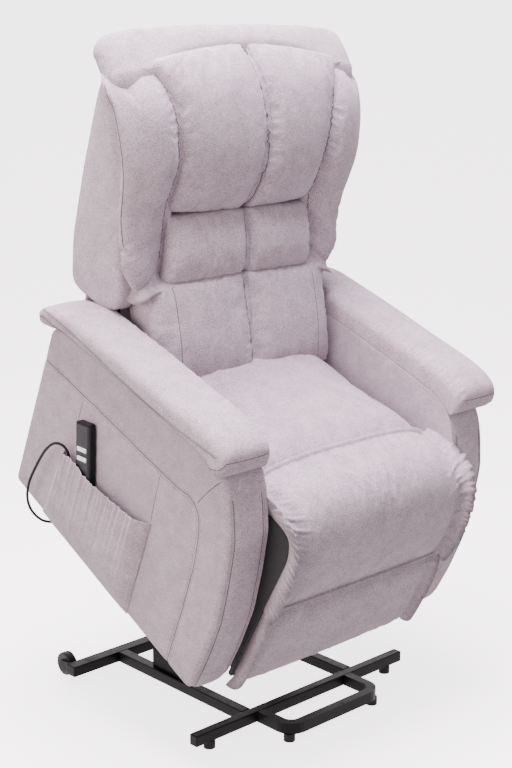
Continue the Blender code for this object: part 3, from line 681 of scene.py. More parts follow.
def bolster(side):
    sections = []
    for share, back, outer, drop in ((0.0, 0.012, 0.0, 0.004), (0.16, -0.006, 0.0, 0.0),
                                     (0.42, -0.014, 0.22, -0.003), (0.72, -0.011, 0.60, -0.008),
                                     (0.93, -0.005, 0.92, -0.012), (1.0, 0.006, 1.0, -0.013),
                                     (0.93, 0.020, 1.0, -0.013), (0.62, 0.034, 1.0, -0.012)):
        section = []
        for v, w in SPINE:
            rim = outer * rim_back(w)
            draw_in = 0.30 * np.clip((0.585 - w) / 0.04, 0, 1) ** 2
            draw_in += 0.24 * np.clip((w - 0.925) / 0.023, 0, 1) ** 2
            x = seam_x(w) - 0.002 + share * (1 - draw_in) * (outer_edge(w) - seam_x(w))
            section.append((side * x, v + back + rim, w + drop))
        sections.append(section)
    grid = patch(sections, 60, 100)
    made, out = crowned(grid, (0.016, 0.0, 0.022, 0.010), (0.0005, 0, 0.0010, 0), 11 + side)
    if side > 0:  # this grid runs the other way round, so its normals point in
        out = -out
        made = grid * 2 - made
    low = runs(grid, 1)[0]
    creases = wave(low * 2 * pi / 0.030 + 6 * runs(grid, 0)[0] / 0.1, 21 + side)
    share = np.exp(-low / 0.07) * np.sin(pi * np.linspace(0, 1, 60))[:, None] ** 0.7
    made = made - out * (0.0016 * creases * share)[..., None]
    back = grid * (0.90, 1, 1) + INTO_BACK * (1, 0.3, 0.3)
    piece = stuffed(f"bolster_cover_{hand(side)}", made, back, held_edges(grid))
    inflate(piece, cap=0.006)
    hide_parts(f"bolster_{hand(side)}")
    dress(piece, "back")
    return piece


bolsters = [bolster(side) for side in (-1, 1)]

# %% Top roll
ROLL = [(0.790, 0.962), (0.799, 0.984), (0.812, 0.996), (0.834, 1.003), (0.856, 1.000),
        (0.871, 0.985), (0.876, 0.962), (0.866, 0.944), (0.836, 0.936), (0.806, 0.942)]
ROLL_HALF, ROLL_END = 0.300, 0.040  # half its even part, and how long each rounded end is


def top_roll():
    loop = spline(ROLL, 72, closed=True)
    middle = loop.mean(0)
    stops = [(x, 1.0) for x in np.linspace(-ROLL_HALF, ROLL_HALF, 71)]
    round_end = [(ROLL_HALF + ROLL_END * sin(angle), cos(angle) ** 0.8)
                 for angle in np.linspace(0.12, 1.50, 12)]
    stops = [(-x, size) for x, size in reversed(round_end)] + stops + round_end
    rings = []
    for x, size in stops:
        near = min(1.0, abs(x) / 0.255)
        nose = np.clip((middle[0] + 0.02 - loop[:, 0]) / 0.04, 0, 1)
        flat = middle + (loop - middle) * size
        flat = flat - np.column_stack([0.034 * near**3 * nose, 0.030 * near**3 * nose])
        flat[:, 1] -= 0.020 * abs(x / 0.34) ** 3
        flat = flat + (loop - middle) * (0.02 * wave(np.array(x * 40), 31))
        rings.append(np.column_stack([np.full(len(flat), x), flat]))
    dress(ringed("top_roll_cover", rings), "back")


top_roll()

# %% [markdown]
# ## The seat and the leg rest
# The seat cushion is one deep, strongly crowned pad. In front of it a second pad rolls
# over the edge and runs down the leg rest with no break, so that the legs are held all
# the way when the leg rest swings out. That pad crosses the hinge, and here it is kept
# as one fixed piece. A shorter pad below overlaps its lower edge.

# %% Seat cushion
SEAT_TOP = [(0.157, 0.430), (0.205, 0.432), (0.300, 0.418), (0.390, 0.406), (0.453, 0.398),
            (0.520, 0.384), (0.588, 0.366)]
INSIDE = (-0.235, -0.18, -0.09, 0.0, 0.09, 0.18, 0.235)
SIDES = (-SEAT_HALF, *INSIDE, SEAT_HALF)
SEAT_UNDER = 0.2915  # on top of the deck


def seat_cover():
    sections = [[(x, v, w - 0.052 * abs(x / SEAT_HALF) ** 4) for v, w in SEAT_TOP] for x in SIDES]
    grid = patch(sections, 96, 84)
    made, out = crowned(grid, (0.024, 0.024, 0.010, 0.020), (0.0014, 0.0014, 0.0010, 0), 41)
    hollows = wave(grid[:, :, 0] * 34 + grid[:, :, 1] * 9, 43)
    made = made + out * (0.0016 * hollows * np.sin(pi * np.linspace(0, 1, 84))[None, :])[..., None]
    back = grid.copy()
    back[..., 2] = SEAT_UNDER
    piece = stuffed("seat_cushion_cover", made, back, held_edges(grid))
    inflate(piece, cap=0.014)
    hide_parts("seat_cushion")
    dress(piece, "chair_frame")


seat_cover()

# %% The long pad that rolls over the seat's front
PAD_MIDDLE = [(0.153, 0.431), (0.120, 0.438), (0.080, 0.436), (0.045, 0.424), (0.018, 0.400),
              (0.000, 0.368), (-0.010, 0.330), (-0.017, 0.280), (-0.018, 0.235), (-0.013, 0.202),
              (-0.006, 0.188)]
PAD_SIDE = [(0.155, 0.384), (0.126, 0.392), (0.085, 0.396), (0.046, 0.392), (0.016, 0.376),
            (-0.002, 0.350), (-0.009, 0.322), (-0.015, 0.278), (-0.015, 0.235), (-0.011, 0.204),
            (-0.005, 0.189)]
PAD_BEHIND = [(0.153, 0.296), (0.130, 0.296), (0.112, 0.310), (0.100, 0.366), (0.060, 0.371),
              (0.024, 0.364), (0.006, 0.340), (0.0035, 0.290), (0.0035, 0.245), (0.0035, 0.208),
              (0.0035, 0.190)]


def long_pad():
    sections = []
    for x in SIDES:
        share = abs(x / SEAT_HALF) ** 4
        sections.append([(x, a + (c - a) * share, b + (d - b) * share)
                         for (a, b), (c, d) in zip(PAD_MIDDLE, PAD_SIDE)])
    grid = patch(sections, 110, 120)
    made, out = crowned(grid, (0.028, 0.028, 0.012, 0.010), (0.0010, 0.0010, 0.0008, 0.0010), 51)
    ends = np.minimum(*runs(grid, 0))
    low = runs(grid, 1)[1]
    tucks = wave(low * 2 * pi / 0.032 + 5 * ends / 0.1, 57) * np.exp(-ends / 0.05)
    made = made - out * (0.0022 * tucks * np.sin(pi * np.linspace(0, 1, 120))[None, :])[..., None]
    back = patch([[(x * 0.975, v, w) for v, w in PAD_BEHIND] for x in SIDES], 110, 120)
    piece = stuffed("long_pad_cover", made, back, held_edges(grid))
    inflate(piece, cap=0.012)
    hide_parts("seat_front_roll", "leg_rest_pad")
    return piece


long_cover = long_pad()
tuple(tip((0, 0.060, 0.400)))
tuple(tip((0, -0.004, 0.350)))
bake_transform(long_cover)

# %% The pad below
LOW_PAD = [(-0.005, 0.186), (-0.017, 0.158), (-0.022, 0.110), (-0.022, 0.055), (-0.020, 0.004),
           (-0.015, -0.022), (0.002, -0.031)]
LOW_HALF = 0.256


def low_pad():
    sections = [[(x, v + 0.006 * abs(x / LOW_HALF) ** 4,
                  w + 0.020 * abs(x / LOW_HALF) ** 6 * np.clip((0.03 - w) / 0.066, 0, 1))
                 for v, w in LOW_PAD]
                for x in (-LOW_HALF, *INSIDE, LOW_HALF)]
    grid = patch(sections, 96, 60)
    made, _ = crowned(grid, (0.020, 0.020, 0.012, 0.010), (0.0012, 0.0012, 0.0014, 0.0012), 61)
    back = grid.copy()
    back[..., 1] = 0.0036
    back[..., 0] *= 0.975
    back[..., 2] = np.maximum(back[..., 2], -0.024)
    piece = stuffed("low_pad_cover", made, back, held_edges(grid))
    inflate(piece, cap=0.005)
    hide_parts("leg_rest_lower_pad")
    dress(piece, "leg_rest")
    return piece


low_cover = low_pad()

# %% [markdown]
# ## Boxed pieces
# The arms, their pads, the wings and the covers behind are boxed: two panels with a
# strip between them. Each is an outline in the chair's side view, taken across its
# width in rings. The rings step in at both ends for rounded edges and go on to the
# middle of each panel, so that the whole panel has points to shape.

# %% Boxed pieces
def softened(corners, radius, count):
    """count points, evenly spaced, round a closed outline with rounded corners."""
    corners = np.asarray(corners, float)
    found = []
    for before, here, after in zip(np.roll(corners, 1, 0), corners, np.roll(corners, -1, 0)):
        ends = []
        for other in (before, after):
            way = other - here
            size = np.linalg.norm(way)
            ends.append(here + way / size * min(radius, 0.45 * size))
        t = np.linspace(0, 1, 9)[:, None]
        found.append((1 - t) ** 2 * ends[0] + 2 * t * (1 - t) * here + t**2 * ends[1])
    found = np.vstack([*found, found[0][:1]])
    run = np.append(0, np.cumsum(np.linalg.norm(np.diff(found, axis=0), axis=1)))
    wanted = np.linspace(0, run[-1], count, endpoint=False)
    return np.stack([np.interp(wanted, run, axis) for axis in found.T], -1)


def area_of(outline):
    """A closed outline's area, below 0 where it runs clockwise."""
    after = np.roll(outline, -1, 0)
    return 0.5 * float((outline[:, 0] * after[:, 1] - after[:, 0] * outline[:, 1]).sum())


def outwards_of(outline):
    ahead = np.roll(outline, -1, 0) - np.roll(outline, 1, 0)
    sideways = np.stack([ahead[:, 1], -ahead[:, 0]], -1)
    sideways /= np.linalg.norm(sideways, axis=1, keepdims=True)
    return sideways if area_of(outline) > 0 else -sideways


def boxed_rings(corners, inner, outer, edges, corner, count, fill, cross, crown=0.0):
    """Rings [ring, point, x v w] of a boxed piece, and each ring's share of its panel:
    below 1 on a panel, 1 on the strip. edges are the rounding at the inner and at the
    outer end, each a size or a function of the outline's outward direction. crown
    lifts the middle of the outer panel."""
    outline = softened(corners, corner, count)
    out = outwards_of(outline)
    turn = 1 if outer > inner else -1
    apart = np.linalg.norm(outline[:, None] - outline[None], axis=-1)
    room = 0.42 * np.where(out @ out.T < -0.2, apart, np.inf).min(1)
    first, last = (np.minimum(edge(out) if callable(edge) else edge, room) for edge in edges)
    middle = outline.mean(0)
    rings, shares = [], []

    def add(flat, x, share):
        rings.append(np.column_stack([np.broadcast_to(x, count), flat]))
        shares.append(share)

    def panel(edge, x, share, lift=0.0):
        rim = outline - out * edge[:, None]
        add(middle + (rim - middle) * share, x + turn * lift * (1 - share**3), share)

    def rounding(edge, x, way, angle):
        flat = outline - out * (edge * (1 - sin(angle)))[:, None]
        add(flat, x + way * edge * (1 - cos(angle)), 1.0)

    turns = np.linspace(0, pi / 2, 9)
    for share in np.linspace(0.02, 1, fill, endpoint=False):
        panel(first, inner, share)
    for angle in turns:
        rounding(first, inner, turn, angle)
    for share in np.linspace(0, 1, cross + 2)[1:-1]:
        add(outline, (inner + turn * first) * (1 - share) + (outer - turn * last) * share, 1.0)
    for angle in turns[::-1]:
        rounding(last, outer, -turn, angle)
    for share in np.linspace(1, 0.02, fill + 1)[1:]:
        panel(last, outer, share, crown)
    return np.array(rings), np.array(shares), out


def from_line(points, line):
    """Each point's distance from a line of points, in the last axis's space."""
    line = np.asarray(line, float)
    best = np.full(points.shape[:-1], np.inf)
    for start, end in zip(line, line[1:]):
        way = end - start
        t = np.clip(((points - start) @ way) / (way @ way), 0, 1)[..., None]
        best = np.minimum(best, np.linalg.norm(points - (start + way * t), axis=-1))
    return best


def sewn_in(rings, line, depth, width, side):
    """Presses a sewn line, given in the side view, into an arm's outer panel."""
    near = from_line(rings[..., 1:], spline(line, 60))
    outer = np.clip((side * rings[..., 0] - 0.33) / 0.03, 0, 1)
    rings[..., 0] -= side * depth * np.exp(-((near / width) ** 2)) * outer
    return rings


print("a softened 100 mm square holds", round(area_of(softened(
    [(0, 0), (0.1, 0), (0.1, 0.1), (0, 0.1)], 0.02, 100)), 5), "m2")

# %% [markdown]
# ## The arms
# Each arm is a boxed panel with a welt along its top and down its front edge, which
# frames the side panel. The padded top overhangs it outside, swells over the front and
# ends in a blunt nose.

# %% Arms
PAD_UNDER = [(0.700, 0.400), (0.637, 0.428), (0.454, 0.452), (0.317, 0.468), (0.189, 0.480),
             (0.152, 0.475), (0.126, 0.462)]
PAD_OVER = [(0.114, 0.488), (0.124, 0.523), (0.160, 0.535), (0.220, 0.532), (0.317, 0.517),
            (0.454, 0.500), (0.637, 0.472), (0.706, 0.442), (0.724, 0.416)]
ARM_NOSE = [(0.104, 0.440), (0.084, 0.412), (0.052, 0.358), (0.027, 0.276), (0.006, 0.186),
            (0.0, 0.090), (0.002, 0.010), (0.012, 0.0)]
SIDE_WELT = [(0.699, 0.318), (0.479, 0.337), (0.241, 0.355), (0.186, 0.364), (0.152, 0.352),
             (0.130, 0.314), (0.106, 0.215), (0.080, 0.002)]
PAD_SEAMS = ([(0.700, 0.424), (0.502, 0.4395), (0.390, 0.4495), (0.269, 0.4635), (0.140, 0.476)],
             [(0.712, 0.438), (0.594, 0.453), (0.383, 0.469), (0.269, 0.484), (0.138, 0.510)])
ARM_INNER, ARM_OUTER = 0.273, 0.3768
PAD_INNER, PAD_OUTER = 0.2735, 0.403
FRONT_SEAMS = (0.288, 0.362)  # beside the swollen front face


def arm(side):
    under = [(v, w - 0.0003) for v, w in PAD_UNDER[1:]]
    corners = [(0.655, 0.0), (0.662, 0.010), (0.694, 0.392), *under, *ARM_NOSE]
    inside = lambda way: 0.002 + 0.012 * np.clip(0.55 - way[:, 1], 0, 1)
    rings, shares, out = boxed_rings(corners, side * ARM_INNER, side * ARM_OUTER,
                                     (inside, 0.013), 0.016, 400, 40, 14)
    rings = sewn_in(rings, SIDE_WELT, 0.0022, 0.007, side)
    strip = shares == 1.0
    front = np.clip((0.10 - rings[..., 1]) / 0.05, 0, 1) * strip[:, None]
    bulge = np.sin(pi * np.clip((side * rings[..., 0] - 0.285) / 0.080, 0, 1)) ** 0.5
    rings[..., 1:] += out * (0.006 * front * bulge)[..., None]
    for x in FRONT_SEAMS:
        seam = np.exp(-(((side * rings[..., 0] - x) / 0.005) ** 2)) * front
        rings[..., 1:] -= out * (0.0020 * seam)[..., None]
    piece = ringed(f"arm_cover_{hand(side)}", rings)
    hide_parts(f"arm_{hand(side)}")
    dress(piece, "chair_frame")
    return piece


def arm_pad(side):
    inside = lambda way: 0.002 + 0.024 * np.clip(way[:, 1] + 0.5, 0, 1)
    outside = lambda way: 0.014 + 0.014 * np.clip(way[:, 1] + 0.6, 0, 1)
    rings, _, out = boxed_rings(PAD_UNDER + PAD_OVER, side * PAD_INNER, side * PAD_OUTER,
                                (inside, outside), 0.024, 420, 0, 30)
    across = np.clip((side * rings[..., 0] - ARM_INNER) / 0.130, 0, 1)
    top = np.clip((out @ (-0.3, 0.95)) * 1.6, 0, 1)
    rings[..., 1:] += out * (0.006 * np.sin(pi * across) ** 0.7 * top)[..., None]
    ripple = wave(rings[..., 1] * 2 * pi / 0.030, 71 + side)
    ripple *= np.exp(-((across - 0.06) / 0.12) ** 2)
    rings[..., 1:] -= out * (0.0012 * ripple * top)[..., None]
    piece = ringed(f"arm_pad_cover_{hand(side)}", rings, flat_ends=True)
    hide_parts(f"arm_pad_{hand(side)}")
    dress(piece, "chair_frame")
    return piece


arms = {side: arm(side) for side in (-1, 1)}
arm_pads = {side: arm_pad(side) for side in (-1, 1)}

# %% [markdown]
# ## The shell behind
# Behind the cushions stands an upholstered shell: two wings joined by a panel across
# the back. An apron closes the chair below it, and the leg rest's board has a thin
# cover of its own.

# %% Wings, back panel and apron
SHELL_REAR = [(0.716, 0.290), (0.740, 0.380), (0.762, 0.457), (0.800, 0.549), (0.831, 0.699),
              (0.855, 0.863), (0.848, 0.930)]
WING = [(0.596, 0.500), (0.640, 0.464), (0.690, 0.458), (0.722, 0.452), *SHELL_REAR[2:],
        (0.800, 0.930), (0.746, 0.860), (0.700, 0.740), (0.650, 0.610)]


def wing(side):
    rings = boxed_rings(WING, side * 0.2625, side * 0.304, (0.004, 0.014), 0.030,
                        300, 16, 8, 0.006)[0]
    piece = ringed(f"wing_cover_{hand(side)}", rings)
    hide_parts(f"back_wing_{hand(side)}")
    dress(piece, "back")


def rear_cover(name, node, profile, half, thick, swell, body, seed):
    """A padded panel that faces backwards, with a back grid thick metres before it."""
    stations = (-1, -0.9, -0.6, -0.2, 0.2, 0.6, 0.9, 1)
    grid = patch([[(x * half, v, w) for v, w in profile] for x in stations], 70, 70)
    made, _ = crowned(grid, (0.007,) * 4, (0.0008, 0.0008, 0, 0), seed)
    share = (1 - (grid[:, :, 0] / half) ** 4) * np.sin(pi * np.linspace(0, 1, 70))[None, :] ** 0.5
    # The patch's normals point forwards, so its rounded edges are turned backwards.
    made[..., 1] = 2 * grid[..., 1] - made[..., 1]
    made[..., 1] += swell * share
    piece = stuffed(name, made, grid - np.array((0, thick, 0)))
    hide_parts(node)
    dress(piece, body)


for side in (-1, 1):
    wing(side)
rear_cover("back_panel_cover", "back_panel", SHELL_REAR, SEAT_HALF, 0.0138, 0.006, "back", 81)
APRON = [(0.660, 0.004), (0.660, 0.090), (0.660, 0.180), (0.660, 0.268)]
rear_cover("rear_apron_cover", "rear_apron", APRON, 0.270, 0.0148, 0.003, "chair_frame", 83)

# %% Board cover
BOARD = [(0.0041, -0.0122), (0.0162, -0.0122), (0.0162, 0.3302), (0.0041, 0.3302)]
rings = boxed_rings(BOARD, -0.2556, 0.2556, (0.003, 0.003), 0.004, 160, 6, 40)[0]
board = ringed("leg_rest_board_cover", rings, lining)
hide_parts("leg_rest_board")
dress(board, "leg_rest")

# %% Gussets beside the leg rest
GUSSET = [(0.0045, 0.010), (0.022, 0.012), (0.050, 0.080), (0.066, 0.180), (0.085, 0.260),
          (0.110, 0.292), (0.109, 0.350), (0.086, 0.376), (0.018, 0.378), (-0.003, 0.330)]
GUSSET_INNER, GUSSET_OUTER = 0.2566, 0.2584
for side in (-1, 1):
    rings = boxed_rings(GUSSET, side * GUSSET_INNER, side * GUSSET_OUTER, (0.0005, 0.0005),
                        0.02, 120, 10, 1)[0]
    gusset = ringed(f"leg_rest_gusset_{hand(side)}", rings, lining)
    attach(gusset, "leg_rest")
    spread = np.ptp(softened(GUSSET, 0.02, 120), axis=0)
    area = abs(area_of(softened(GUSSET, 0.02, 400)))
    print(gusset.name, "is cut from", round(area, 4), "m2")

# %% [markdown]
# ## The pocket
# The pocket is a patch of the same cloth, sewn to the arm along three sides. Elastic in
# its hem gathers the mouth, so folds fan down from it. The cloth has a real thickness,
# and there is room behind it for the handset.

# %% Pocket
HEM = [(0.247, 0.2385), (0.300, 0.2270), (0.346, 0.2180), (0.397, 0.2090), (0.435, 0.2040),
       (0.481, 0.2080), (0.512, 0.2020), (0.540, 0.1860)]
FOOT = [(0.221, 0.006), (0.262, 0.004), (0.310, 0.004), (0.360, 0.004), (0.410, 0.004),
        (0.455, 0.004), (0.500, 0.004), (0.546, 0.006)]
POCKET_SEWN, POCKET_ROOM, POCKET_THICK = 0.3786, 0.0236, 0.0016


def pocket():
    foot, hem = spline(FOOT, 150), spline(HEM, 150)
    t = np.linspace(0, 1, 90)[None, :, None]
    flat = foot[:, None] * (1 - t) + hem[:, None] * t
    first, last = runs(flat, 0)
    low, high = runs(flat, 1)
    ease = lambda distance, reach: 1 - (1 - np.clip(distance / reach, 0, 1)) ** 2
    out = POCKET_SEWN + POCKET_ROOM * ease(np.minimum(first, last), 0.036) * ease(low, 0.085)
    folds = wave(first * 2 * pi / 0.034 - 2.0 * high, 91) * np.exp(-high / 0.075)
    gathers = wave(first * 2 * pi / 0.009, 93) * np.exp(-high / 0.016)
    room = ease(np.minimum(first, last), 0.03) * ease(low, 0.05)
    out = out + (0.0020 * folds + 0.0011 * gathers) * room + 0.0016 * room
    outer = np.concatenate([-out[..., None], flat], -1)
    inner = outer + np.array((POCKET_THICK, 0, 0))
    piece = stuffed("pocket_cloth", outer, inner)
    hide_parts("pocket")
    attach(piece, "chair_frame")
    return piece


pouch = pocket()

# %% [markdown]
# ## Seams and stitches
# Every panel edge is closed by a line of stitches beside a fold. A small tree of
# Geometry Nodes turns a plain line of points into either: one sweeps a thin round
# along it for the folded edge, the other sets a short stitch down every few
# millimetres, turned along the line. The lines are first laid on the finished covers,
# so they follow each channel and crease.

# %% Geometry Nodes trees
class Tree:
    """A Geometry Nodes tree with named inputs for its sizes."""

    def __init__(self, name, sizes):
        self.group = bpy.data.node_groups.new(name, "GeometryNodeTree")
        sockets = self.group.interface
        sockets.new_socket("Geometry", in_out="OUTPUT", socket_type="NodeSocketGeometry")
        sockets.new_socket("Geometry", in_out="INPUT", socket_type="NodeSocketGeometry")
        for label, usual in sizes.items():
            size = sockets.new_socket(label, in_out="INPUT", socket_type="NodeSocketFloat")
            size.default_value = usual
        sockets.new_socket("Material", in_out="INPUT", socket_type="NodeSocketMaterial")
        self.inputs = self.group.nodes.new("NodeGroupInput").outputs

    def node(self, kind, settings, inputs):
        made = self.group.nodes.new(kind)
        for key, value in settings.items():
            setattr(made, key, value)
        for key, value in inputs.items():
            if isinstance(value, bpy.types.NodeSocket):
                self.group.links.new(value, made.inputs[key])
            else:
                made.inputs[key].default_value = value
        return made.outputs[0]

    def finish(self, geometry):
        real = self.node("GeometryNodeRealizeInstances", {}, {"Geometry": geometry})
        ready = self.node("GeometryNodeSetMaterial", {},
                          {"Geometry": real, "Material": self.inputs["Material"]})
        self.group.links.new(ready, self.group.nodes.new("NodeGroupOutput").inputs["Geometry"])
        return self.group


def fold_tree():
    tree = Tree("folded_edge", {"Radius": 0.001})
    line = tree.node("GeometryNodeMeshToCurve", {}, {"Mesh": tree.inputs["Geometry"]})
    section = tree.node("GeometryNodeCurvePrimitiveCircle", {},
                        {"Resolution": 6, "Radius": tree.inputs["Radius"]})
    return tree.finish(tree.node("GeometryNodeCurveToMesh", {},
                                 {"Curve": line, "Profile Curve": section, "Fill Caps": True}))


def stitch_tree():
    tree = Tree("line_of_stitches", {"Spacing": 0.0045, "Length": 0.0031, "Radius": 0.0005})
    line = tree.node("GeometryNodeMeshToCurve", {}, {"Mesh": tree.inputs["Geometry"]})
    stops = tree.node("GeometryNodeResampleCurve", {"mode": "LENGTH"},
                      {"Curve": line, "Length": tree.inputs["Spacing"]})
    stitch = tree.node("GeometryNodeMeshCylinder", {},
                       {"Vertices": 6, "Radius": tree.inputs["Radius"],
                        "Depth": tree.inputs["Length"]})
    turn = tree.node("FunctionNodeAlignRotationToVector", {"axis": "Z"},
                     {"Vector": tree.node("GeometryNodeInputTangent", {}, {})})
    return tree.finish(tree.node("GeometryNodeInstanceOnPoints", {},
                                 {"Points": stops, "Instance": stitch, "Rotation": turn}))


folds, stitches = fold_tree(), stitch_tree()


def grown(name, lines, group, material, sizes):
    """A plain mesh of what a tree grows on lines of points in the world's space."""
    mesh = bpy.data.meshes.new(name + "_line")
    points, edges = [], []
    for line in lines:
        edges += [(len(points) + i, len(points) + i + 1) for i in range(len(line) - 1)]
        points += [tuple(map(float, point)) for point in line]
    mesh.from_pydata(points, edges, [])
    source = linked(name + "_line", mesh)
    grow = source.modifiers.new("grow", "NODES")
    grow.node_group = group
    for socket in group.interface.items_tree:
        if socket.in_out == "INPUT" and socket.name in sizes:
            grow[socket.identifier] = sizes[socket.name]
        elif socket.in_out == "INPUT" and socket.name == "Material":
            grow[socket.identifier] = material
    graph = bpy.context.evaluated_depsgraph_get()
    grown_mesh = bpy.data.meshes.new_from_object(source.evaluated_get(graph))
    bpy.data.objects.remove(source)
    grown_mesh.shade_smooth()
    return linked(name, grown_mesh)


print("a folded edge takes", len(folds.nodes), "nodes and a line of stitches", len(stitches.nodes))

# %% Laying lines on the covers
LINE_STEP = 0.006  # a laid line has a point about every 6 mm
ON_TOP, SUNK = 0.0001, -0.0002  # where stitches and folds lie, measured from the cloth


def laid(piece, points, lift=ON_TOP):
    """A line of chair-space points laid on a finished cover."""
    mesh = piece.data
    spots = [vertex.co for vertex in mesh.vertices]
    surface = BVHTree.FromPolygons(spots, [face.vertices for face in mesh.polygons])
    length = float(np.linalg.norm(np.diff(points, axis=0), axis=1).sum())
    found = []
    for point in tip(spline(points, max(8, int(length / LINE_STEP)))):
        spot, normal, _, _ = surface.find_nearest(Vector(point))
        found.append(np.array(spot + normal * lift))
    return np.array(found)


def beside(line, step):
    """A line in the side view (v, w), moved sideways by step."""
    fine = spline(line, 60)
    ahead = np.gradient(fine, axis=0)
    ahead /= np.linalg.norm(ahead, axis=1, keepdims=True)
    return fine + np.column_stack([-ahead[:, 1], ahead[:, 0]]) * step


def at_x(x, line):
    return [(x, v, w) for v, w in line]


def sew(name, body, fold_lines, stitch_lines):
    """Folded edges and stitches of one cover, as one piece for each."""
    made = []
    if fold_lines:
        # the folded edges are thin rounds in the darker seam cloth, which paints the seams' shade
        made.append(grown(f"{name}_fold", fold_lines, folds, seam_shade_cloth, {"Radius": 0.0011}))
    if stitch_lines:
        made.append(grown(f"{name}_stitches", stitch_lines, stitches, thread, {}))
    for piece in made:
        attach(piece, body)
    print(name, "is sewn with", sum(len(piece.data.polygons) for piece in made), "faces")


print("laid lines are sunk by", -SUNK * 1000, "mm or lie", ON_TOP * 1000, "mm above the cloth")

# %% Sewing the arms
ARM_FACE = [(0.096, 0.430), *ARM_NOSE[1:-1]]
SHOULDER_SEAM = [(0.160, 0.372), (0.146, 0.412), (0.128, 0.452)]
ABOVE_POCKET = ([(0.531, 0.264), (0.537, 0.323)], [(0.252, 0.242), (0.262, 0.290), (0.272, 0.348)])
ARM_SIDE, PAD_SIDE_X = 0.378, 0.404  # just outside each panel


def sew_arm(side):
    cover = arms[side]
    edges = [laid(cover, at_x(side * ARM_SIDE, SIDE_WELT), SUNK)]
    edges += [laid(cover, at_x(side * x, ARM_FACE), SUNK) for x in FRONT_SEAMS]
    edges.append(laid(cover, at_x(side * ARM_SIDE, SHOULDER_SEAM), 2 * SUNK))
    if side < 0:
        edges += [laid(cover, at_x(side * ARM_SIDE, line), 3 * SUNK) for line in ABOVE_POCKET]
    rows = [laid(cover, at_x(side * ARM_SIDE, beside(SIDE_WELT, step))) for step in (-0.005, 0.005)]
    rows += [laid(cover, at_x(side * x, ARM_FACE)) for x in (0.2825, 0.3675)]
    sew(f"arm_{hand(side)}", "chair_frame", edges, rows)


def sew_arm_pad(side):
    pad = arm_pads[side]
    nose = [(side * x, 0.108, 0.512) for x in (0.398, 0.36, 0.32, 0.284)]
    corner = [(side * x, v, w) for x, v, w in ((0.399, 0.150, 0.478), (0.399, 0.126, 0.490),
                                               (0.397, 0.112, 0.512))]
    edges = [laid(pad, at_x(side * PAD_SIDE_X, line), SUNK) for line in PAD_SEAMS]
    edges += [laid(pad, line, 1.5 * SUNK) for line in (nose, corner)]
    rows = [laid(pad, at_x(side * PAD_SIDE_X, beside(line, step)))
            for line in PAD_SEAMS for step in (-0.004, 0.004)]
    sew(f"arm_pad_{hand(side)}", "chair_frame", edges, rows)


for side in (-1, 1):
    sew_arm(side)
    sew_arm_pad(side)

# %% Sewing the back, the leg rest and the pocket
rows, edges = [], []
for side, cover in zip((-1, 1), bolsters):
    seam = [(side * float(seam_x(w) + 0.001), v - 0.002, w) for v, w in SPINE[1:]]
    rim = [(side * float(outer_edge(w) - 0.003), v + float(rim_back(w)), w - 0.012)
           for v, w in SPINE[2:-1]]
    edges += [laid(cover, seam, 3 * SUNK), laid(cover, rim, 0.0)]
for cover, profile, bow in ((head, HEAD, HEAD_BOW), (lumbar, LUMBAR, 0.0), (lower, LOWER, 0.0)):
    middle = [(bow * sin(pi * t), v, w)
              for t, (v, w) in zip(np.linspace(0, 1, len(profile)), profile)]
    edges.append(laid(cover, middle, 2 * SUNK))
    rows += [laid(cover, [(x + step, v, w) for x, v, w in middle]) for step in (-0.0045, 0.0045)]
edges += [laid(lower, at_x(x, LOWER), 2.5 * SUNK) for x in (-0.2, 0.2)]
sew("back", "back", edges, rows)
across_pad = [(x, -0.012, 0.166) for x in (-0.24, -0.1, 0.1, 0.24)]
sew("low_pad", "leg_rest", [], [laid(low_cover, across_pad)])
front = [(0.228, 0.190), (0.2255, 0.12), (0.228, 0.014)]
foot = [(0.228, 0.014), (0.262, 0.0105), (0.40, 0.0105), (0.535, 0.0105)]
rear = [(0.539, 0.03), (0.536, 0.11), (0.534, 0.175)]
sew("pocket", "chair_frame", [], [laid(pouch, at_x(-0.384, line), 2 * ON_TOP)
                                  for line in (front, foot, rear)])

# %% [markdown]
# ## The studio
# A pale paper floor sweeps up behind the chair, so there is no horizon. The light comes
# from a big soft box above, a weaker warm one at the side and an even surround, which
# is stronger above than below.

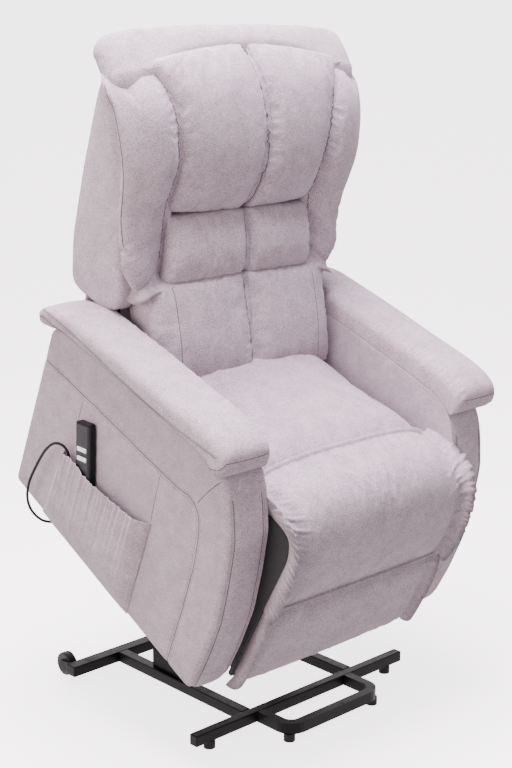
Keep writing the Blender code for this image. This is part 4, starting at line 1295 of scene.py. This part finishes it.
# %% Floor, surround and lights
LIGHT_ABOVE, SHADE_BELOW, PAPER_GLOW = 0.97, 0.92, 3.6  # strengths
TOP_POWER, SIDE_POWER = 345, 85  # watts
SURROUND_SEEN = 4.2
BEND = 4.0  # the radius of the paper's bend
sweep = [(-7.0, 0.0), (3.0, 0.0)]  # along the view and up
sweep += [(3.0 + BEND * sin(angle), BEND - BEND * cos(angle))
          for angle in np.linspace(0, pi / 2, 24)[1:]]
sweep += [(7.0, 9.0)]
paper_points = []
for along_view, height in sweep:
    for across_view in (-9.0, 9.0):
        paper_points.append((across_view * cos(CAMERA_TURN) - along_view * sin(CAMERA_TURN),
                             across_view * sin(CAMERA_TURN) + along_view * cos(CAMERA_TURN),
                             height))
paper_mesh = bpy.data.meshes.new("studio_paper")
paper_mesh.from_pydata(paper_points, [], sheet_faces(len(sweep), 2))
paper_mesh.shade_smooth()
paper = linked("studio_paper", paper_mesh)
kit = Kit("pale_paper")
place = kit.place()
kit.feed("Base Color", kit.mix(kit.noise(place, 900.0, 2.0), colour(226, 216, 219),
                               colour(236, 228, 231)))
kit.constants(Roughness=0.9, Emission_Color=colour(244, 238, 240), Emission_Strength=PAPER_GLOW)
paper_mesh.materials.append(kit.material)
paper.visible_diffuse = False  # so that the chair's underside stays in shade

surround = bpy.data.worlds.new("studio_surround")
surround.use_nodes = True
nodes, links = surround.node_tree.nodes, surround.node_tree.links
shade = nodes["Background"]
shade.inputs["Color"].default_value = colour(244, 236, 240)
height, glow = nodes.new("ShaderNodeSeparateXYZ"), nodes.new("ShaderNodeMapRange")
links.new(nodes.new("ShaderNodeTexCoord").outputs["Generated"], height.inputs[0])
for number, value in enumerate((-0.5, 0.8, SHADE_BELOW, LIGHT_ABOVE), 1):
    glow.inputs[number].default_value = value
links.new(height.outputs["Z"], glow.inputs[0])
seen = nodes.new("ShaderNodeMix")  # where the surround itself is seen, it is as pale as the paper
seen.inputs["B"].default_value = SURROUND_SEEN
links.new(nodes.new("ShaderNodeLightPath").outputs["Is Camera Ray"], seen.inputs["Factor"])
links.new(glow.outputs[0], seen.inputs["A"])
links.new(seen.outputs["Result"], shade.inputs["Strength"])
bpy.context.scene.world = surround


def soft_box(name, place, target, size, power, tint):
    light = bpy.data.lights.new(name, "AREA")
    light.size, light.energy, light.color = size, power, tint
    made = linked(name, light)
    made.location = place
    made.rotation_euler = (Vector(target) - Vector(place)).to_track_quat("-Z", "Y").to_euler()


soft_box("top_box", (-0.3, 0.0, 3.2), (0, 0, 0.7), 1.6, TOP_POWER, (0.96, 0.90, 1.0))
soft_box("side_box", (-3.2, -0.6, 1.5), (0, 0, 0.6), 1.6, SIDE_POWER, (1.0, 0.92, 0.82))
print("the paper bends up", BEND, "m high, and two soft boxes give", TOP_POWER + SIDE_POWER, "W")
